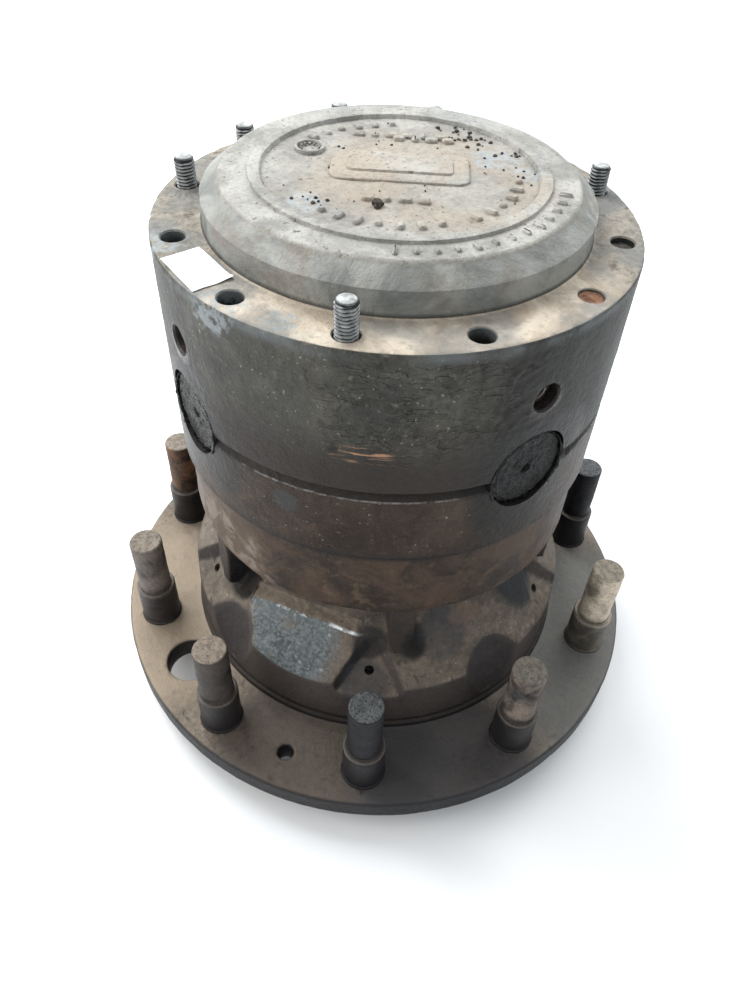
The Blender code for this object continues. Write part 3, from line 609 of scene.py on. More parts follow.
cover_iron = cast_iron("cover_iron", (0.027, 0.027, 0.022), (0.052, 0.051, 0.042), (0.300, 0.262, 0.212),
                       0.95, (0.25, 0.26, 0.25), grease=0.35, wall_dust=0.14, mottle=0.7, extra=cover_extra)


def cover():
    profile = [
        (101.0, 253.3, 20.0), (128.6, 253.3, 2.0), (129.6, 254.3, 1.3), (129.6, 335.2, 1.0),
        (129.0, 336.4, 1.0), (128.2, 336.7, 1.8), (104.4, 336.7, 1.0), (103.2, 337.2, 1.0),
        (102.5, 338.8, 1.6), (102.5, 350.4, 1.0), (101.9, 351.0, 1.4), (91.8, 359.1, 1.0),
        (91.1, 359.3, 1.6), (78.2, 359.3, 0.8), (77.6, 360.9, 0.8), (77.0, 361.0, 1.4), (72.4, 361.0, 0.8),
        (71.8, 360.8, 0.8), (71.0, 358.7, 2.0), (0.0, 358.7, 40.0), (0.0, 346.0, 60.0), (52.0, 346.0, 60.0),
        (52.0, 323.6, 60.0), (88.0, 323.6, 60.0), (101.0, 312.0, 80.0)]
    mesh = lathe(profile, 560, step=1.8)
    cuts = []
    for angle in BOLT_ANGLES:
        cuts.append(drill(6.25, 7.4, (240.0, 335.9, 337.2, 345.0), 40, at(angle, BOLT_CIRCLE)))
    for angle in PIN_ANGLES:
        cuts.append(rod(24.2, 96.0, 140.0, 96, outward(angle, SPLIT + 1.0)))
        cuts.append(drill(7.4, 8.8, (108.0, 128.2, 130.2, 136.0), 48, outward(angle, PLUG_LEVEL)))
    mesh = combined(mesh, cuts, "DIFFERENCE")

    bolt_centres = [(BOLT_CIRCLE * cos(radians(angle)), BOLT_CIRCLE * sin(radians(angle)))
                    for angle in BOLT_ANGLES]

    def cast(place, normal):
        angle, radius = polar(place)
        # the inside stays plain
        if radius < 99.0 and place.z < 345.0:
            return 0.0
        near_hole = min(math.hypot(place.x - x, place.y - y) for x, y in bolt_centres)
        calm = fade(near_hole, 6.0, 9.0) if place.z > 330.0 else 1.0
        push = 0.16 * fractal(place, 22.0) + 0.07 * fractal(place, 6.0)
        if abs(normal.z) < 0.4 and place.z < 334.0:
            # wrinkled casting skin on the wall, strongest in front and to the right
            front = fade(apart(angle, -26.0), 30.0, 12.0)
            front *= fade(place.z, 276.0, 292.0) * fade(place.z, 335.0, 326.0)
            folded = Vector((place.x, place.y, place.z * 2.6))
            folded += Vector((fractal(place, 14.0), fractal(place, 17.0), fractal(place, 15.0))) * 10.0
            fold = noise.noise(folded / 6.5)
            push += (0.08 + 0.75 * front) * fade(fold, 0.05, 0.30) * (0.6 + fractal(place, 9.0))
            push -= (0.06 + 0.42 * front) * fade(-fold, 0.10, 0.40)
            push += 0.10 * fractal(place, 2.2)
        # the rough dome, then the chipped edges of the rim and the shoulder
        if place.z > 356.0 and radius < 78.0:
            push += 0.16 * fractal(place, 4.0) + 0.20 * fractal(place, 11.0)
        if abs(radius - 129.0) < 1.2 and abs(place.z - 336.2) < 1.3:
            push -= 0.55 * max(0.0, fractal(place, 7.0))
        if abs(radius - 101.6) < 1.6 and abs(place.z - 350.8) < 2.0:
            push -= 0.8 * max(0.0, fractal(place, 8.0) - 0.05)
        # the top of the rim, smooth round its holes, and the ring round the dome
        if 103.5 < radius < 128.5 and abs(place.z - 336.7) < 0.5:
            push += 0.14 * fractal(place, 3.5) * calm
        if abs(radius - 75.0) < 4.2 and place.z > 359.6:
            push -= 0.5 * max(0.0, fractal(place, 9.0) - 0.1)
        return push * (0.25 + 0.75 * calm)

    stand_in("cover_casting", pushed(mesh, cast), cover_iron, "outer_cover", smooth_angle=24.0)


cover()


# plain raised details on the dome, in place of lettering
def raised_block(length, width, tall, radius=2.0):
    """A low block with rounded corners and sloping sides, centred on the origin."""
    loops = []
    for level, inset in ((-1.0, 0.0), (tall * 0.55, 0.25), (tall, 1.0)):
        loop = []
        half_x = length / 2.0 - inset
        half_y = width / 2.0 - inset
        round_r = max(0.3, radius - inset * 0.5)
        for corner, (sx, sy) in enumerate(((1, 1), (-1, 1), (-1, -1), (1, -1))):
            for part in range(6):
                turn = corner * 90.0 + part * 18.0
                loop.append(Vector((sx * (half_x - round_r) + round_r * cos(radians(turn)),
                                    sy * (half_y - round_r) + round_r * sin(radians(turn)), level)))
        loops.append(loop)
    shape = bmesh.new()
    rows = [[shape.verts.new(place * MM) for place in loop] for loop in loops]
    for lower, upper in zip(rows, rows[1:]):
        for index in range(len(lower)):
            after = (index + 1) % len(lower)
            shape.faces.new((lower[index], lower[after], upper[after], upper[index]))
    shape.faces.new(rows[0])
    shape.faces.new(rows[-1])
    return finished(shape)


MARK_TURN = 54.0


def on_dome(x, y, turn, level=358.9):
    return Matrix.Translation((x * MM, y * MM, level * MM)) @ about_z(turn)


def dome_marks():
    marks = []
    # a blank raised pad with a border across the middle
    marks.append(moved(raised_block(72.0, 36.0, 1.3, 7.0), on_dome(-3.0, 2.0, MARK_TURN)))
    marks.append(moved(raised_block(56.0, 20.0, 2.3, 4.0), on_dome(-3.0, 2.0, MARK_TURN)))
    # rows of plain bars round it
    for centre, count in (((-37.0, 25.0), 6), ((-26.0, 33.0), 4), ((27.0, -21.0), 4)):
        for index in range(count):
            length = (7.0, 4.4, 7.6)[index % 3]
            shift = (index - (count - 1) / 2.0) * 9.0
            where = on_dome(*centre, MARK_TURN) @ at(0.0, shift)
            marks.append(moved(raised_block(length, 6.0, 1.7, 2.0), where))
    for first, count in ((-72.0, 7), (2.0, 6), (150.0, 7)):
        for index in range(count):
            length = (7.0, 4.2, 7.7)[(index * 2 + count) % 3]
            where = on_dome(0.0, 0.0, first + index * 9.4) @ at(0.0, 60.5)
            marks.append(moved(raised_block(length, 4.4, 1.7, 1.6), where))
    # a casting date dial without figures
    dial = on_dome(-46.0, -27.0, 0.0)
    marks.append(lathe([(6.4, -1.0), (8.4, -1.0), (8.2, 1.5), (7.8, 1.9), (7.0, 1.9), (6.6, 1.5)], 48, dial))
    for index in range(12):
        turn = 30.0 * index
        marks.append(lathe([(0.0, -1.0), (0.8, -1.0), (0.7, 1.2), (0.0, 1.5)], 12, dial @ at(turn, 4.8)))
    # plain index bars round the outer land, front right
    for index in range(13):
        turn = -36.0 + index * 6.4
        size = 7.6 if index % 4 == 0 else 5.6
        where = on_dome(0.0, 0.0, turn, 359.3) @ at(0.0, 84.6)
        marks.append(moved(raised_block(size, 3.0, 1.6, 1.2), where))

    def worn(place, normal):
        return 0.34 * fractal(place, 4.0) - 0.12

    obj = new_object("dome_marks", pushed(joined(marks), worn), cover_iron)


dome_marks()


# ---------------------------------------------------------------- case ring
def case_extra(n):
    level = n.level()
    # painted shade in the groove under the cover, on the top chamfer
    chamfer_shade = n.ramp(level, 0.2476, 0.2484)
    n.paint((0.012, 0.010, 0.009), chamfer_shade, 0.85)
    # a painted highlight along the lower edge of the chamfer
    line = n.between(level, 0.2468, 0.2473, 0.2478, 0.2482)
    line = n.both(line, n.patches(0.38, 0.62, 150.0, 5.0, 0.75))
    n.paint((0.200, 0.200, 0.196), line, 0.8)
    n.set_rough(0.24, n.maths("MAXIMUM", chamfer_shade, line), 0.8)
    n.set_metal(0.9, line)
    # darker towards the bottom, with a painted shade line along the joint with the band
    n.paint((0.018, 0.014, 0.012), n.ramp(level, 0.2120, 0.2035), 0.6)
    n.paint((0.005, 0.004, 0.004), n.ramp(level, 0.2056, 0.2044), 0.9)
    for angle in PIN_ANGLES:
        mask = n.near(spot(angle, WALL_RADIUS, 246.0), 42.0, ragged=0.6, grain=40.0)
        n.paint((0.007, 0.006, 0.005), mask, 0.90)
        n.set_rough(0.28, mask, 0.5)
    n.stain((0.034, 0.037, 0.035), 0.80, spot(PRINT_ANGLE, WALL_RADIUS, PRINT_LEVEL), 7.8, (1.0, 1.0, 0.95),
            ragged=0.14, grain=80.0)


case_iron = cast_iron("case_iron", (0.018, 0.011, 0.007), (0.038, 0.024, 0.016), (0.150, 0.110, 0.078), 0.7,
                      (0.16, 0.15, 0.14), grease=0.6, wall_dust=0.16, gloss=0.2, extra=case_extra)


def case():
    profile = [
        (101.0, 203.3, 30.0), (128.4, 203.3, 2.0), (129.4, 204.2, 2.0), (129.6, 246.9, 0.6),
        (129.3, 248.0, 0.8), (127.6, 250.0, 0.8), (125.6, 252.3, 12.0), (101.0, 252.3, 40.0)]
    mesh = lathe(profile, 360, step=2.0)
    cuts = []
    for angle in BOLT_ANGLES:
        cuts.append(rod(6.25, 190.0, 260.0, 32, at(angle, BOLT_CIRCLE)))
    for angle in PIN_ANGLES:
        cuts.append(rod(23.2, 90.0, 140.0, 96, outward(angle, SPLIT)))
    mesh = combined(mesh, cuts, "DIFFERENCE")

    def cast(place, normal):
        angle, radius = polar(place)
        if radius < 124.0:
            return 0.0
        push = 0.16 * fractal(place, 18.0) + 0.07 * fractal(place, 5.0)
        # the chipped chamfer, then a low round mark on the wall
        if place.z > 247.0:
            push -= 0.35 * max(0.0, fractal(place, 6.0))
        mark = math.hypot(apart(angle, PRINT_ANGLE) * 2.26, place.z - PRINT_LEVEL)
        push += 0.25 * fade(mark, 8.0, 6.5)
        return push + 0.06 * fractal(place, 2.2)

    stand_in("case_casting", pushed(mesh, cast), case_iron, "case_ring")


case()


# ---------------------------------------------------------------- spider pins
def pin_material():
    n = Nodes("pin_crust")
    crust = n.noise(130.0, 6.0, 0.75, warp=0.5)
    fine = n.noise(520.0, 4.0, 0.7)
    n.colour = n.mix(n.ramp(crust, 0.40, 0.68), (0.002, 0.002, 0.002), (0.008, 0.0075, 0.007))
    n.paint((0.13, 0.13, 0.126), n.ramp(fine, 0.62, 0.70), 0.7)
    n.rough = n.plus(n.both(fine, 0.45), 0.05)
    n.height = n.plus(crust, n.both(fine, 0.6))
    return n.done(1.0, 1.6, 0.17)


pin_crust = pin_material()


def spider():
    boss = lathe([
        (30.0, 228.5), (45.0, 228.5), (46.0, 229.5), (46.0, 275.5), (45.0, 276.5), (30.0, 276.5)], 96)
    arms = []
    for angle in PIN_ANGLES:
        profile = [
            (0.0, 36.0, 50.0), (22.0, 36.0, 50.0), (22.0, 42.0, 50.0), (30.0, 43.0, 50.0),
            (30.0, 51.5, 50.0), (23.0, 51.5, 60.0), (23.0, 124.8, 0.7), (22.4, 126.2, 0.7),
            (21.6, 126.7, 0.9), (3.2, 126.7, 0.7), (2.4, 125.6, 0.7), (1.0, 122.6, 0.7),
            (0.0, 122.0, 100.0)]
        arms.append(lathe(profile, 96, outward(angle, SPLIT), step=2.0))
    mesh = combined(boss, arms, "UNION")

    def crusty(place, normal):
        # only the visible ends of the pins are crusty
        if max(abs(place.x), abs(place.y)) < 124.0:
            return 0.0
        edge = math.hypot(min(abs(place.x), abs(place.y)), place.z - SPLIT)
        rim = 0.5 * fade(abs(edge - 19.6), 1.2, 0.2)
        return 0.46 * fractal(place, 3.2) + 0.28 * fractal(place, 1.5) + rim - 0.2

    stand_in("spider_cross", pushed(mesh, crusty), pin_crust, "spider")
    # dried grease that fills the gap round each pin, except over its top
    collars = []
    for angle in PIN_ANGLES:
        profile = [(22.4, 118.0, 9.0), (24.4, 118.0, 9.0), (24.4, 127.6, 0.5), (24.0, 128.1, 0.5),
                   (22.4, 127.7, 0.5)]
        collars.append(lathe(profile, 120, outward(angle, SPLIT - 0.7), step=0.8))

    def lumpy(place, normal):
        edge = fade(place.z, SPLIT + 14.0, SPLIT + 2.0)
        return 0.7 * fractal(place, 3.0) * (0.3 + edge) - 1.1 * (1.0 - edge)

    obj = new_object("pin_grease", pushed(joined(collars), lumpy), pin_crust)


spider()


# ---------------------------------------------------------------- hub
UPRIGHT = (1.0, 1.0, 0.45)


def hub_extra(n):
    level = n.level()
    # the upper band: brown and greasy
    band = n.ramp(level, 0.143, 0.153)
    brown = n.mix(n.patches(0.40, 0.62, 30.0, 6.0, 0.7, warp=1.0),
                  (0.016, 0.009, 0.005), (0.060, 0.034, 0.020))
    brown = n.over(brown, (0.112, 0.072, 0.044), n.patches(0.54, 0.66, 70.0, 5.0, 0.7, warp=0.6), 0.6)
    warm = n.near((-10, -126, 170), 64.0, (1.0, 1.0, 1.3), ragged=0.30, grain=30.0)
    brown = n.over(brown, (0.125, 0.082, 0.050), warm, 0.5)
    n.paint(brown, band, 0.88)
    # painted shadow of the case ring across the top of the band
    n.paint((0.005, 0.004, 0.004), n.ramp(level, 0.1965, 0.2010), 0.9)
    # the spigot and its tool scallops: dark and oily
    steep = n.ramp(n.facing_up(), 0.52, 0.34)
    spigot = n.both(n.ramp(level, 0.0368, 0.0385), n.ramp(level, 0.102, 0.092), steep)
    n.paint((0.046, 0.037, 0.035), spigot, 0.80)
    n.set_rough(0.40, spigot, 0.5)
    # the flange: painted shade makes it darker in front, dust and painted light make it paler at the sides,
    # with a black edge
    flat = n.ramp(level, 0.0420, 0.0400)
    # painted shade in front and painted light with dust at the sides
    for where, reach, tall, ragged, grain, share, tint in (
            ((118, -118, 30), 82.0, 0.8, 0.30, 18.0, 0.72, (0.058, 0.046, 0.040)),
            ((176, -52, 30), 72.0, 0.8, 0.25, 18.0, 0.85, (0.038, 0.038, 0.041)),
            ((150, 110, 37), 110.0, 1.0, 0.20, 14.0, 0.75, (0.148, 0.152, 0.146)),
            ((-60, -170, 37), 96.0, 1.0, 0.22, 14.0, 0.65, (0.345, 0.275, 0.200))):
        n.paint(tint, n.near(where, reach, (1.0, 1.0, tall), ragged, grain), flat, share)
    step = n.between(level, 0.0372, 0.0380, 0.0430, 0.0460)
    n.paint((0.012, 0.010, 0.010), step, 0.85)
    rim = n.both(n.ramp(level, 0.0369, 0.0352), n.ramp(level, 0.018, 0.022))
    n.paint((0.009, 0.009, 0.011), rim, 0.92)
    # a worn bright face on the front pad, with a crest of bared metal and a painted highlight
    face = n.ramp(n.side((0.395, -0.586, 0.707)), 0.955, 0.985)
    face = n.both(face, n.near((49, -108, 96), 43.0, ragged=0.20, grain=45.0), n.ramp(level, 0.1080, 0.1066))
    face = n.both(face, n.patches(0.28, 0.44, 55.0, 6.0, 0.72))
    mottle = n.mix(n.patches(0.40, 0.64, 420.0, 5.0, 0.7), (0.060, 0.068, 0.070), (0.170, 0.190, 0.195))
    mottle = n.over(mottle, (0.150, 0.175, 0.180), n.patches(0.42, 0.60, 60.0, 4.0, 0.6), 0.5)
    mottle = n.over(mottle, (0.36, 0.39, 0.39), n.patches(0.58, 0.68, 170.0, 5.0, 0.7), 0.7)
    n.paint(mottle, face, 0.95)
    n.set_rough(0.42, face, 0.8)
    n.set_metal(0.5, face, 0.5)
    # the crest: bared metal with a painted highlight along it
    crest = n.near((78, -78, 107), 13.0, (1.0, 1.0, 3.0), ragged=0.20, grain=60.0)
    crest_left = n.both(n.near((52, -95, 107), 24.0), n.patches(0.50, 0.62, 130.0, 5.0, 0.7), 0.6)
    crest = n.maths("MAXIMUM", crest, crest_left)
    crest = n.both(crest, n.ramp(level, 0.1058, 0.1063), n.ramp(level, 0.1075, 0.1069))
    crest = n.both(crest, n.patches(0.36, 0.50, 160.0, 5.0, 0.7))
    n.paint((0.70, 0.73, 0.74), crest, 0.90)
    n.set_rough(0.22, crest, 0.8)
    n.set_metal(0.7, crest, 0.6)
    # the front valley: painted shade makes its left flank and its pit almost black, its floor is grey
    flank_shade = n.near((92, -84, 92), 26.0, ragged=0.15, grain=60.0)
    n.paint((0.006, 0.006, 0.007), flank_shade, n.ramp(n.side((0.55, 0.80, 0.0)), 0.25, 0.55), 0.92)
    n.stain((0.012, 0.011, 0.012), 0.80, (91, -67, 101), 13.0, ragged=0.25, grain=60.0)
    n.stain((0.038, 0.039, 0.043), 0.65, (103, -78, 78), 17.0, ragged=0.25, grain=50.0)
    # pale scuffs on the left of the band's chamfer
    scuffs = n.patches(0.44, 0.58, 52.0, 6.0, 0.7, warp=1.4)
    n.paint((0.185, 0.150, 0.122), n.near((14, -120, 155), 42.0, ragged=0.2), scuffs, 0.85)
    # the greasy front ribs and the shade beside them
    for angle in RIB_ANGLES[::4]:
        where = spot(angle, 120.0, 125.0)
        n.stain((0.024, 0.017, 0.014), 0.85, where, 15.0, UPRIGHT, ragged=0.20, grain=60.0)
        where = spot(angle + 4.6, 114.0, 114.0)
        n.stain((0.006, 0.005, 0.005), 0.92, where, 12.5, UPRIGHT, ragged=0.3, grain=50.0)
    # a blue-black patch under the band, painted blue-black shade in the pit of the valley to the right, and
    # a tan patch between them
    n.stain((0.040, 0.043, 0.050), 0.55, (112, -24, 106), 19.0, ragged=0.30, grain=30.0)
    n.stain((0.165, 0.112, 0.078), 0.45, (110, -5, 111), 9.0, (1.0, 0.7, 1.4), ragged=0.45, grain=60.0)
    # painted shade in the pit of the next valley
    n.stain((0.014, 0.018, 0.021), 0.92, (101, 48, 112), 27.0, ragged=0.22, grain=40.0)
    # oil in the tool scallops seen in front
    for place in ((126, 4, 66), (16, -124, 66)):
        n.stain((0.016, 0.015, 0.016), 0.6, place, 24.0, (1.0, 1.0, 0.8), ragged=0.2, grain=50.0)


hub_iron = cast_iron("hub_iron", (0.040, 0.032, 0.026), (0.078, 0.062, 0.050), (0.225, 0.182, 0.140),
                     0.85, (0.15, 0.14, 0.13), grease=0.3, gloss=0.25, wall_dust=0.28, mottle=0.35,
                     extra=hub_extra)


def flange():
    profile = [
        (88.0, 0.0, 30.0), (104.0, 0.0, 1.0), (105.0, 1.0, 10.0), (105.0, 18.5, 1.0), (106.5, 20.0, 4.0),
        (190.0, 20.0, 1.0), (191.3, 21.3, 2.5), (191.3, 34.4, 1.0), (190.8, 35.8, 1.0), (189.6, 36.7, 1.0),
        (187.8, 37.0, 3.0), (138.6, 37.0, 0.8), (137.8, 37.5, 1.0), (137.6, 40.4, 1.0), (136.9, 41.3, 1.0),
        (135.6, 41.7, 4.0), (100.0, 41.7, 30.0), (85.3, 41.7, 30.0), (85.3, 24.0, 30.0), (88.0, 24.0, 30.0)]
    mesh = lathe(profile, 360, step=2.5)
    cuts = []
    for index in range(10):
        cuts.append(drill(11.3, 14.6, (10.0, 36.3, 36.6, 40.0), 48, at(36.0 * index, STUD_CIRCLE)))
    cuts.append(lathe([(0.0, 10.0), (18.0, 10.0), (17.0, 21.0), (17.0, 36.0), (18.2, 37.2), (18.2, 45.0),
                       (0.0, 45.0)], 96, at(270.0, 159.0)))
    for angle in (126.0, 306.0):
        cuts.append(drill(5.4, 6.6, (10.0, 36.0, 37.2, 45.0), 40, at(angle, STUD_CIRCLE)))
    mesh = combined(mesh, cuts, "DIFFERENCE")

    def cast(place, normal):
        radius = polar(place)[1]
        if radius < 104.0:
            return 0.0
        push = 0.10 * fractal(place, 26.0) + 0.04 * fractal(place, 6.0)
        if radius > 189.0:
            push += 0.18 * fractal(place, 9.0) - 0.3 * max(0.0, fractal(place, 15.0) - 0.25)
        return push

    return pushed(mesh, cast)


def neck():
    """A cone with five valleys, a rib beside each, four pads with a straight crest, and tool scallops."""
    body = lathe([
        (85.3, 41.0), (135.5, 41.0), (135.5, 79.0), (121.0, 96.0), (109.5, 108.0), (101.0, 121.0),
        (98.0, 130.0), (113.2, 141.7), (113.2, 146.0), (85.3, 146.0)], 240)

    def across(turn, sections):
        """A prism through cross sections (distance, [(sideways, level) ...])."""
        return prism(*[[turn @ Vector((depth, side, level)) for side, level in loop]
                       for depth, loop in sections])

    def along(turn, section, ends):
        """A prism with one cross section (distance, level) between two sideways ends."""
        return prism(*[[turn @ Vector((depth, end, level)) for depth, level in section] for end in ends])

    for angle in (-56.0, 88.0, 160.0, -124.0):
        turn = about_z(angle)
        section = [(96.3, 60.0), (135.5, 60.0), (135.5, 81.0), (107.5, 109.0), (96.3, 113.0)]
        pad = combined(along(turn, section, (-50.0, 31.0)), [rod(135.2, 58.0, 133.0, 232)], "INTERSECT")
        body = combined(body, [pad], "UNION")
        over = [(98.3, 110.2), (107.5, 107.0), (139.5, 75.0), (139.5, 133.0), (98.3, 133.0)]
        body = combined(body, [along(turn, over, (-50.3, 31.3))], "DIFFERENCE")
    cuts = []
    ribs = []
    holes = []
    scallops = []
    for centre, rib_angle in zip(VALLEY_ANGLES, RIB_ANGLES):
        sections = []
        for depth, left, right in ((111.5, 1.0, 2.0), (150.0, -36.5, 34.0)):
            floor = 70.5 + 1.12 * (135.5 - depth)
            sections.append((depth, [(left, floor), (right, floor), (right + 9.0, floor + 14.0),
                                     (left - 7.0, floor + 14.0)]))
        cuts.append(across(about_z(centre), sections))
        sections = []
        for depth, half, low in ((94.0, 10.0, 92.0), (123.0, 8.0, 103.0)):
            sections.append((depth, [(-half, 152.0), (-0.94 * half, 124.0), (-0.55 * half, low),
                                     (0.55 * half, low), (0.94 * half, 124.0), (half, 152.0)]))
        ribs.append(across(about_z(rib_angle), sections))
        frame_of = about_z(centre) @ Matrix.Translation((122.8 * MM, 0.0, 84.5 * MM))
        holes.append(rod(3.2, -9.0, 14.0, 32, frame_of @ Matrix.Rotation(radians(45.0), 4, "Y")))
    for angle in (2.0, 92.0, 182.0, 278.0):
        section = [(0.0, 45.0), (33.0, 45.0), (47.3, 106.0), (0.0, 106.0)]
        scallops.append(lathe(section, 72, at(angle, STUD_CIRCLE)))
    body = combined(body, cuts, "DIFFERENCE")
    # one at a time, which keeps the surface closed
    for rib in ribs:
        body = combined(body, [rib], "UNION")
    for scallop in scallops:
        body = combined(body, [scallop], "DIFFERENCE")

    def remesh(obj):
        step = obj.modifiers.new("remesh", "REMESH")
        step.mode = "VOXEL"
        step.voxel_size = 1.1 * MM
        step = obj.modifiers.new("smooth", "SMOOTH")
        step.factor = 0.5
        step.iterations = 3

    body = evaluated(body, remesh)

    def cast(place, normal):
        angle, radius = polar(place)
        if radius < 90.0:
            return 0.0
        calm = 0.35 if radius > 134.0 else 1.0
        push = calm * (0.45 * fractal(place, 24.0) + 0.12 * fractal(place, 6.0) + 0.04 * fractal(place, 2.4))
        # a hollow beside each rib
        for rib in RIB_ANGLES:
            past = (angle - rib + 180.0) % 360.0 - 180.0
            hollow = fade(past, 3.8, 5.0) * fade(past, 20.0, 8.0) * fade(place.z, 94.0, 106.0)
            push -= 3.2 * hollow
        return push

    body = pushed(body, cast)
    return combined(body, holes, "DIFFERENCE")


def band():
    profile = [
        (92.0, 181.4, 30.0), (75.3, 181.4, 30.0), (75.3, 142.0, 20.0), (112.6, 141.6, 2.0),
        (121.0, 147.8, 1.5), (123.8, 149.9, 1.5), (125.5, 152.4, 1.5), (126.0, 156.0, 2.0),
        (126.0, 200.8, 1.0), (125.2, 202.4, 1.0), (124.0, 203.0, 14.0), (92.0, 203.0, 30.0)]
    mesh = lathe(profile, 360, step=2.0)

    def cast(place, normal):
        radius = polar(place)[1]
        if radius < 104.0:
            return 0.0
        push = 0.30 * fractal(place, 20.0) + 0.12 * fractal(place, 6.0)
        if place.z < 160.0:
            push += 0.45 * fractal(place, 11.0)
        return push

    return pushed(mesh, cast)


for piece_name, node_name, make in (
        ("flange_casting", "wheel_flange", flange),
        ("neck_casting", "hub_neck", neck),
        ("band_casting", "hub_band", band)):
    stand_in(piece_name, make(), hub_iron, node_name, smooth_angle=50.0)


# ---------------------------------------------------------------- studs
def wheel_stud_material(name, side, upper, upper_share, top, specks):
    n = Nodes(name)
    blot = n.noise(60.0, 5.0, 0.65, warp=0.5)
    fine = n.noise(300.0, 5.0, 0.6)
    grain = n.noise(700.0, 3.0, 0.6)
    n.colour = n.mix(n.ramp(blot, 0.36, 0.66), tone(side, 0.50), tone(side, 1.4))
    level = n.level()
    n.paint((0.017, 0.016, 0.017), n.ramp(level, 0.069, 0.066), 0.75)
    dusty = n.both(n.ramp(level, 0.070, 0.078), n.patches(0.36, 0.58, 45.0, 5.0, 0.6), upper_share)
    n.paint(n.mix(n.ramp(fine, 0.36, 0.64), tone(upper, 0.75), upper), dusty)
    ring = n.between(level, 0.0686, 0.0694, 0.0706, 0.0714)
    n.paint((0.125, 0.108, 0.092), ring, 0.6)
    face = n.both(n.ramp(level, 0.1145, 0.1160), n.ramp(n.facing_up(), 0.35, 0.8))
    top_colour = n.mix(n.ramp(fine, 0.34, 0.62), tone(top, 0.65), tone(top, 1.15))
    top_colour = n.over(top_colour, (0.012, 0.012, 0.013), n.ramp(grain, 0.52, 0.62), specks)
    n.paint(top_colour, face, 0.95)
    n.paint(tone(side, 0.3), n.ramp(grain, 0.46, 0.36), 0.5)
    n.paint((0.20, 0.185, 0.165), n.edges(0.55, 0.62), 0.5)
    n.rough = n.plus(n.both(fine, 0.3), 0.36)
    n.rough = n.plus(n.rough, n.both(n.maths("MAXIMUM", dusty, face), 0.3), clamp=True)
    n.metal = n.both(n.maths("SUBTRACT", 1.0, n.maths("MAXIMUM", dusty, face)), 0.3)
    n.height = n.plus(n.both(fine, 0.5), n.both(blot, 0.6))
    return n.done(0.6, 0.6, 0.25)


# kind: colour of the collar, of the upper part, how much of it, of the top, dark specks on the top
STUD_TONES = {
    "brown": ((0.034, 0.027, 0.024), (0.095, 0.076, 0.062), 0.35, (0.215, 0.175, 0.138), 0.0),
    "worn": ((0.100, 0.084, 0.073), (0.215, 0.180, 0.150), 0.70, (0.215, 0.180, 0.146), 0.0),
    "rusty": ((0.030, 0.024, 0.021), (0.230, 0.110, 0.055), 0.75, (0.220, 0.185, 0.150), 0.0),
    "dark": ((0.007, 0.007, 0.009), (0.018, 0.018, 0.021), 0.25, (0.110, 0.114, 0.116), 0.9),
    "pink": ((0.034, 0.033, 0.032), (0.215, 0.168, 0.136), 0.95, (0.162, 0.143, 0.119), 0.4),
    "pale": ((0.400, 0.345, 0.270), (0.640, 0.550, 0.430), 1.00, (0.300, 0.265, 0.205), 0.0)}
stud_materials = {kind: wheel_stud_material("stud_" + kind, *tones) for kind, tones in STUD_TONES.items()}
# the kind and the thread's depth of each wheel stud, in the order of the nodes
STUD_LOOKS = (("pink", 0.70), ("pale", 0.65), ("dark", 0.45), ("brown", 0.35), ("worn", 0.30),
              ("brown", 0.50), ("rusty", 0.30), ("worn", 0.15), ("brown", 0.25), ("dark", 0.20))


def wheel_stud(index):
    kind, depth = STUD_LOOKS[index]
    seed = Vector((index * 31.7, 5.0, 2.0))

    def thread(angle, radius, height):
        if height < 76.0 or radius < 10.2:
            return radius
        share = fade(height, 76.0, 80.0) * fade(height, 115.4, 113.2)
        phase = (height / 1.5 - angle / (2.0 * pi)) % 1.0
        groove = abs(phase * 2.0 - 1.0)
        chance = noise.noise(Vector((cos(angle), sin(angle), height / 14.0)) * 1.3 + seed)
        rubbed = max(0.0, min(1.0, 0.55 + 1.2 * chance))
        return radius - depth * 0.85 * groove * share * rubbed - 0.10 * rubbed

    profile = [
        (0.0, 10.5, 20.0), (15.5, 10.5, 2.0), (17.0, 12.0, 10.0), (17.0, 19.7, 10.0), (10.7, 19.7, 20.0),
        (10.7, 36.5, 3.0), (14.3, 37.1, 1.0), (14.3, 38.0, 1.0), (13.5, 39.0, 2.0), (13.5, 69.0, 0.7),
        (13.1, 69.8, 0.5), (12.3, 70.1, 0.6), (11.2, 69.9, 0.5), (11.0, 70.6, 1.0), (11.0, 76.0, 0.375),
        (11.0, 114.6, 0.5), (10.6, 115.5, 0.4), (9.9, 116.0, 1.2), (0.0, 115.8, 20.0)]
    mesh = lathe(profile, 56, step=1.0, wave=thread)

    def dinged(place, normal):
        return 0.10 * fractal(place + seed * 3.0, 7.0) + 0.05 * fractal(place + seed, 2.5)

    mesh = pushed(mesh, dinged)
    mesh.transform(at(36.0 * index, STUD_CIRCLE))
    node = "wheel_stud_%d" % (index + 1)
    stand_in(node + "_detail", mesh, stud_materials[kind], node)


for stud_index in range(10):
    wheel_stud(stud_index)

thread_steel = steel("thread_steel", (0.006, 0.008, 0.009), (0.52, 0.53, 0.52), 0.9, 0.50, 0.0, 0.0, 0.62)
# angle and top level of each casing stud, in the order of the nodes
CASING_STUDS = ((315.0, 354.7), (74.0, 352.5), (135.0, 351.0), (164.0, 352.0), (196.0, 350.7),
                (225.0, 352.8))


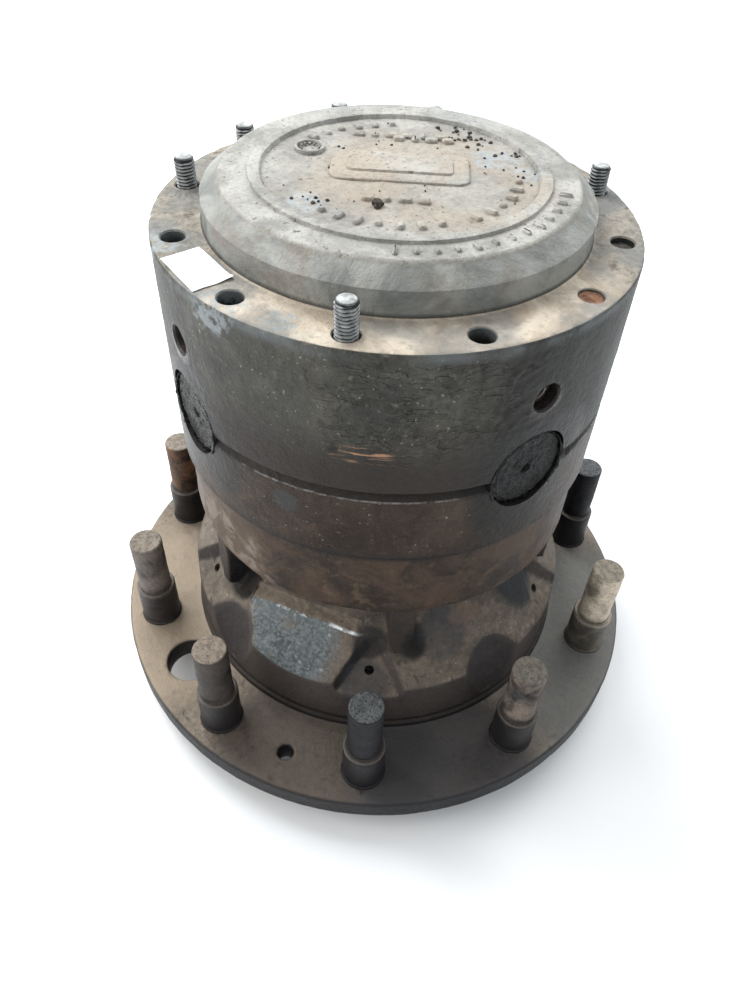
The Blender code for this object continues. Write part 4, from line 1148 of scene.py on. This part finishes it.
def casing_stud(number, angle, top):
    def thread(turn, radius, height):
        if height < 300.0 or radius < 5.0:
            return radius
        share = fade(height, top - 1.0, top - 3.2)
        phase = (height / 1.81 - turn / (2.0 * pi)) % 1.0
        groove = fade(abs(phase * 2.0 - 1.0), 0.15, 0.95)
        return radius - 1.20 * groove * share

    profile = [
        (0.0, 160.0, 20.0), (5.5, 160.0, 40.0), (5.5, 318.0, 6.0), (5.5, 326.0, 0.30),
        (5.55, top - 2.6, 0.30), (5.2, top - 1.6, 0.4), (4.2, top - 0.6, 0.6), (2.4, top - 0.1, 2.0),
        (0.0, top, 20.0)]
    mesh = lathe(profile, 40, step=0.5, wave=thread)
    mesh.transform(at(angle, BOLT_CIRCLE))
    node = "casing_stud_%d" % number
    stand_in(node + "_detail", mesh, thread_steel, node)


for stud_number, (stud_angle, stud_top) in enumerate(CASING_STUDS, start=1):
    casing_stud(stud_number, stud_angle, stud_top)


# ---------------------------------------------------------------- plugs in the cover wall
plug_steel = steel("plug_steel", (0.16, 0.15, 0.145), (0.28, 0.17, 0.10), 0.5, 0.26, 0.9)


def oil_plug(number, angle):
    body = lathe([
        (0.0, 112.0), (7.1, 112.0), (7.1, 122.4), (6.4, 123.2), (4.6, 123.2), (4.2, 122.8), (4.2, 117.5),
        (0.0, 117.0)], 48, outward(angle, PLUG_LEVEL))
    node = "oil_plug_%d" % number
    stand_in(node + "_detail", body, plug_steel, node)


for plug_number, plug_angle in enumerate(PIN_ANGLES, start=1):
    oil_plug(plug_number, plug_angle)


# ---------------------------------------------------------------- underside: sleeve, nut and seal
sleeve_steel = steel("sleeve_steel", (0.30, 0.30, 0.31), (0.17, 0.14, 0.11), 0.35, 0.30, 0.95)
nut_steel = steel("nut_steel", (0.075, 0.070, 0.068), (0.14, 0.12, 0.10), 0.3, 0.40, 0.8)
bronze = steel("bearing_bronze", (0.45, 0.27, 0.10), (0.20, 0.15, 0.09), 0.15, 0.32, 0.95)
ground_steel = steel("ground_steel", (0.48, 0.48, 0.49), (0.22, 0.20, 0.17), 0.10, 0.22, 1.0)
gear_steel = steel("gear_steel", (0.30, 0.30, 0.31), (0.13, 0.11, 0.08), 0.25, 0.30, 0.95)
seal_rubber = two_tone("seal_rubber", (0.014, 0.014, 0.015), (0.062, 0.054, 0.046), (40.0, 5.0, 0.6),
                       (0.45, 0.70), (400.0, 4.0, 0.6), (0.3, 0.45), (0.4, 0.4))
stand_in("axle_sleeve_detail", lathe([
    (32.0, 2.8), (32.8, 2.0), (48.8, 2.0), (50.0, 3.2), (50.0, 67.3), (54.0, 67.3), (54.0, 76.0),
    (48.0, 82.0), (48.0, 139.7), (42.5, 139.7), (42.5, 178.0), (39.7, 178.0), (39.7, 206.8), (36.0, 206.8),
    (36.0, 217.0), (35.0, 218.0), (33.0, 218.0),
    (32.0, 217.0)], 128), sleeve_steel, "axle_sleeve", "axle_side")
stand_in("hub_seal_detail", lathe([
    (52.0, 9.0), (50.6, 10.0), (52.0, 11.0), (60.0, 13.0), (62.5, 11.6), (65.0, 13.0), (80.0, 13.0),
    (82.6, 10.0), (83.6, 4.6), (84.6, 4.0), (87.2, 4.0), (87.7, 4.6), (87.7, 18.0), (62.0, 18.0),
    (56.0, 16.0)], 128),
    seal_rubber, "hub_seal")

for name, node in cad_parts.items():
    if "gear" in name and "nut" not in name:
        look = gear_steel
    elif "washer" in name or "bush" in name:
        look = bronze
    elif "bearing" in name:
        look = ground_steel
    elif "nut" in name:
        look = nut_steel
    else:
        look = sleeve_steel
    for index in range(max(1, len(node.material_slots))):
        if node.material_slots:
            node.material_slots[index].material = look
        else:
            node.data.materials.append(look)


# ---------------------------------------------------------------- label, plugs of dirt, crumbs
label_paper = two_tone("label_paper", (0.90, 0.91, 0.91), (0.60, 0.58, 0.54), (45.0, 6.0, 0.7, None, 0.8),
                       (0.50, 0.76), (420.0, 3.0, 0.5), (0.15, 0.45), (0.15, 0.15))


def label():
    outline = ((-13.6, -127.6), (-15.4, -107.0), (19.2, -105.2), (20.8, -126.6))
    corners = [Vector(corner) for corner in outline]
    shape = bmesh.new()
    columns, rows = 26, 14
    sheets = []
    for level in (0.10, 0.34):
        grid = []
        for column in range(columns + 1):
            line = []
            for row in range(rows + 1):
                u = column / columns
                v = row / rows
                place = corners[0].lerp(corners[3], u).lerp(corners[1].lerp(corners[2], u), v)
                lift = 0.20 * noise.noise(Vector((place.x, place.y, 0.0)) / 9.0) + 0.2
                lift += 0.9 * fade(u, 0.86, 1.0) * fade(v, 0.5, 1.0)
                line.append(shape.verts.new(Vector((place.x, place.y, 336.75 + level + lift)) * MM))
            grid.append(line)
        sheets.append(grid)
    for column in range(columns):
        for row in range(rows):
            for grid, order in zip(sheets, (1, -1)):
                quad = [grid[column + right][row + up] for right, up in ((0, 0), (1, 0), (1, 1), (0, 1))]
                shape.faces.new(quad[::order])
    rim = ([(c, 0) for c in range(columns)] + [(columns, r) for r in range(rows)]
           + [(c, rows) for c in range(columns, 0, -1)] + [(0, r) for r in range(rows, 0, -1)])
    for first, second in zip(rim, rim[1:] + rim[:1]):
        shape.faces.new((sheets[0][first[0]][first[1]], sheets[0][second[0]][second[1]],
                         sheets[1][second[0]][second[1]], sheets[1][first[0]][first[1]]))
    new_object("blank_label", finished(shape), label_paper)


label()

dirt_material = two_tone("dirt_crumbs", (0.012, 0.010, 0.009), (0.075, 0.055, 0.040), (500.0, 4.0, 0.7),
                         (0.40, 0.65), (500.0, 4.0, 0.7), (0.0, 0.75), (0.6, 0.5))
rust_material = two_tone("rust_filling", (0.085, 0.035, 0.016), (0.26, 0.125, 0.070), (350.0, 5.0, 0.7),
                         (0.35, 0.68), (350.0, 5.0, 0.7), (0.0, 0.85), (0.8, 0.8))


def crumb(place, size, seed):
    shape = bmesh.new()
    bmesh.ops.create_icosphere(shape, subdivisions=2, radius=1.0)
    for vert in shape.verts:
        vert.co *= 1.0 + 0.45 * noise.noise(vert.co * 1.4 + Vector((seed, seed * 2.3, 1.0)))
        vert.co.z *= 0.7
        vert.co = vert.co * size * MM
    shape.transform(Matrix.Translation(Vector(place) * MM))
    return finished(shape, False)


def crumbs():
    lumps = [crumb((27.7, -31.8, 360.2), 2.9, 3.0), crumb((29.4, -33.2, 359.7), 1.9, 8.0)]
    clusters = (((8.0, -57.0), 10.0, 9, 1.0), ((2.0, 62.0), 16.0, 22, 1.1), ((-27.0, 61.0), 15.0, 34, 1.2),
                ((36.0, 50.0), 12.0, 9, 0.8), ((-10.0, 0.0), 34.0, 14, 0.7), ((0.0, 0.0), 66.0, 34, 0.5))
    for (x, y), spread, count, size in clusters:
        for _ in range(count):
            angle = random.uniform(0.0, 2.0 * pi)
            reach = spread * math.sqrt(random.random())
            place = (x + reach * cos(angle), y + reach * sin(angle), 359.0)
            if math.hypot(place[0], place[1]) < 70.0:
                lumps.append(crumb(place, size * random.uniform(0.45, 1.25), random.uniform(0.0, 50.0)))
    new_object("dirt_crumbs", joined(lumps), dirt_material)


crumbs()


def filling(name, angle, level, look):
    foot = level - 9.0
    profile = [(0.0, foot, 20.0), (6.1, foot, 20.0), (6.1, level - 0.5, 0.6), (0.0, level, 20.0)]
    mesh = lathe(profile, 40, at(angle, BOLT_CIRCLE), step=0.9)
    mesh = pushed(mesh, lambda place, normal: 0.35 * fractal(place, 3.0) if normal.z > 0.5 else 0.0)
    new_object(name, mesh, look)


filling("rust_filling", 16.0, 335.9, rust_material)
filling("dirt_filling", 45.0, 334.0, dirt_material)
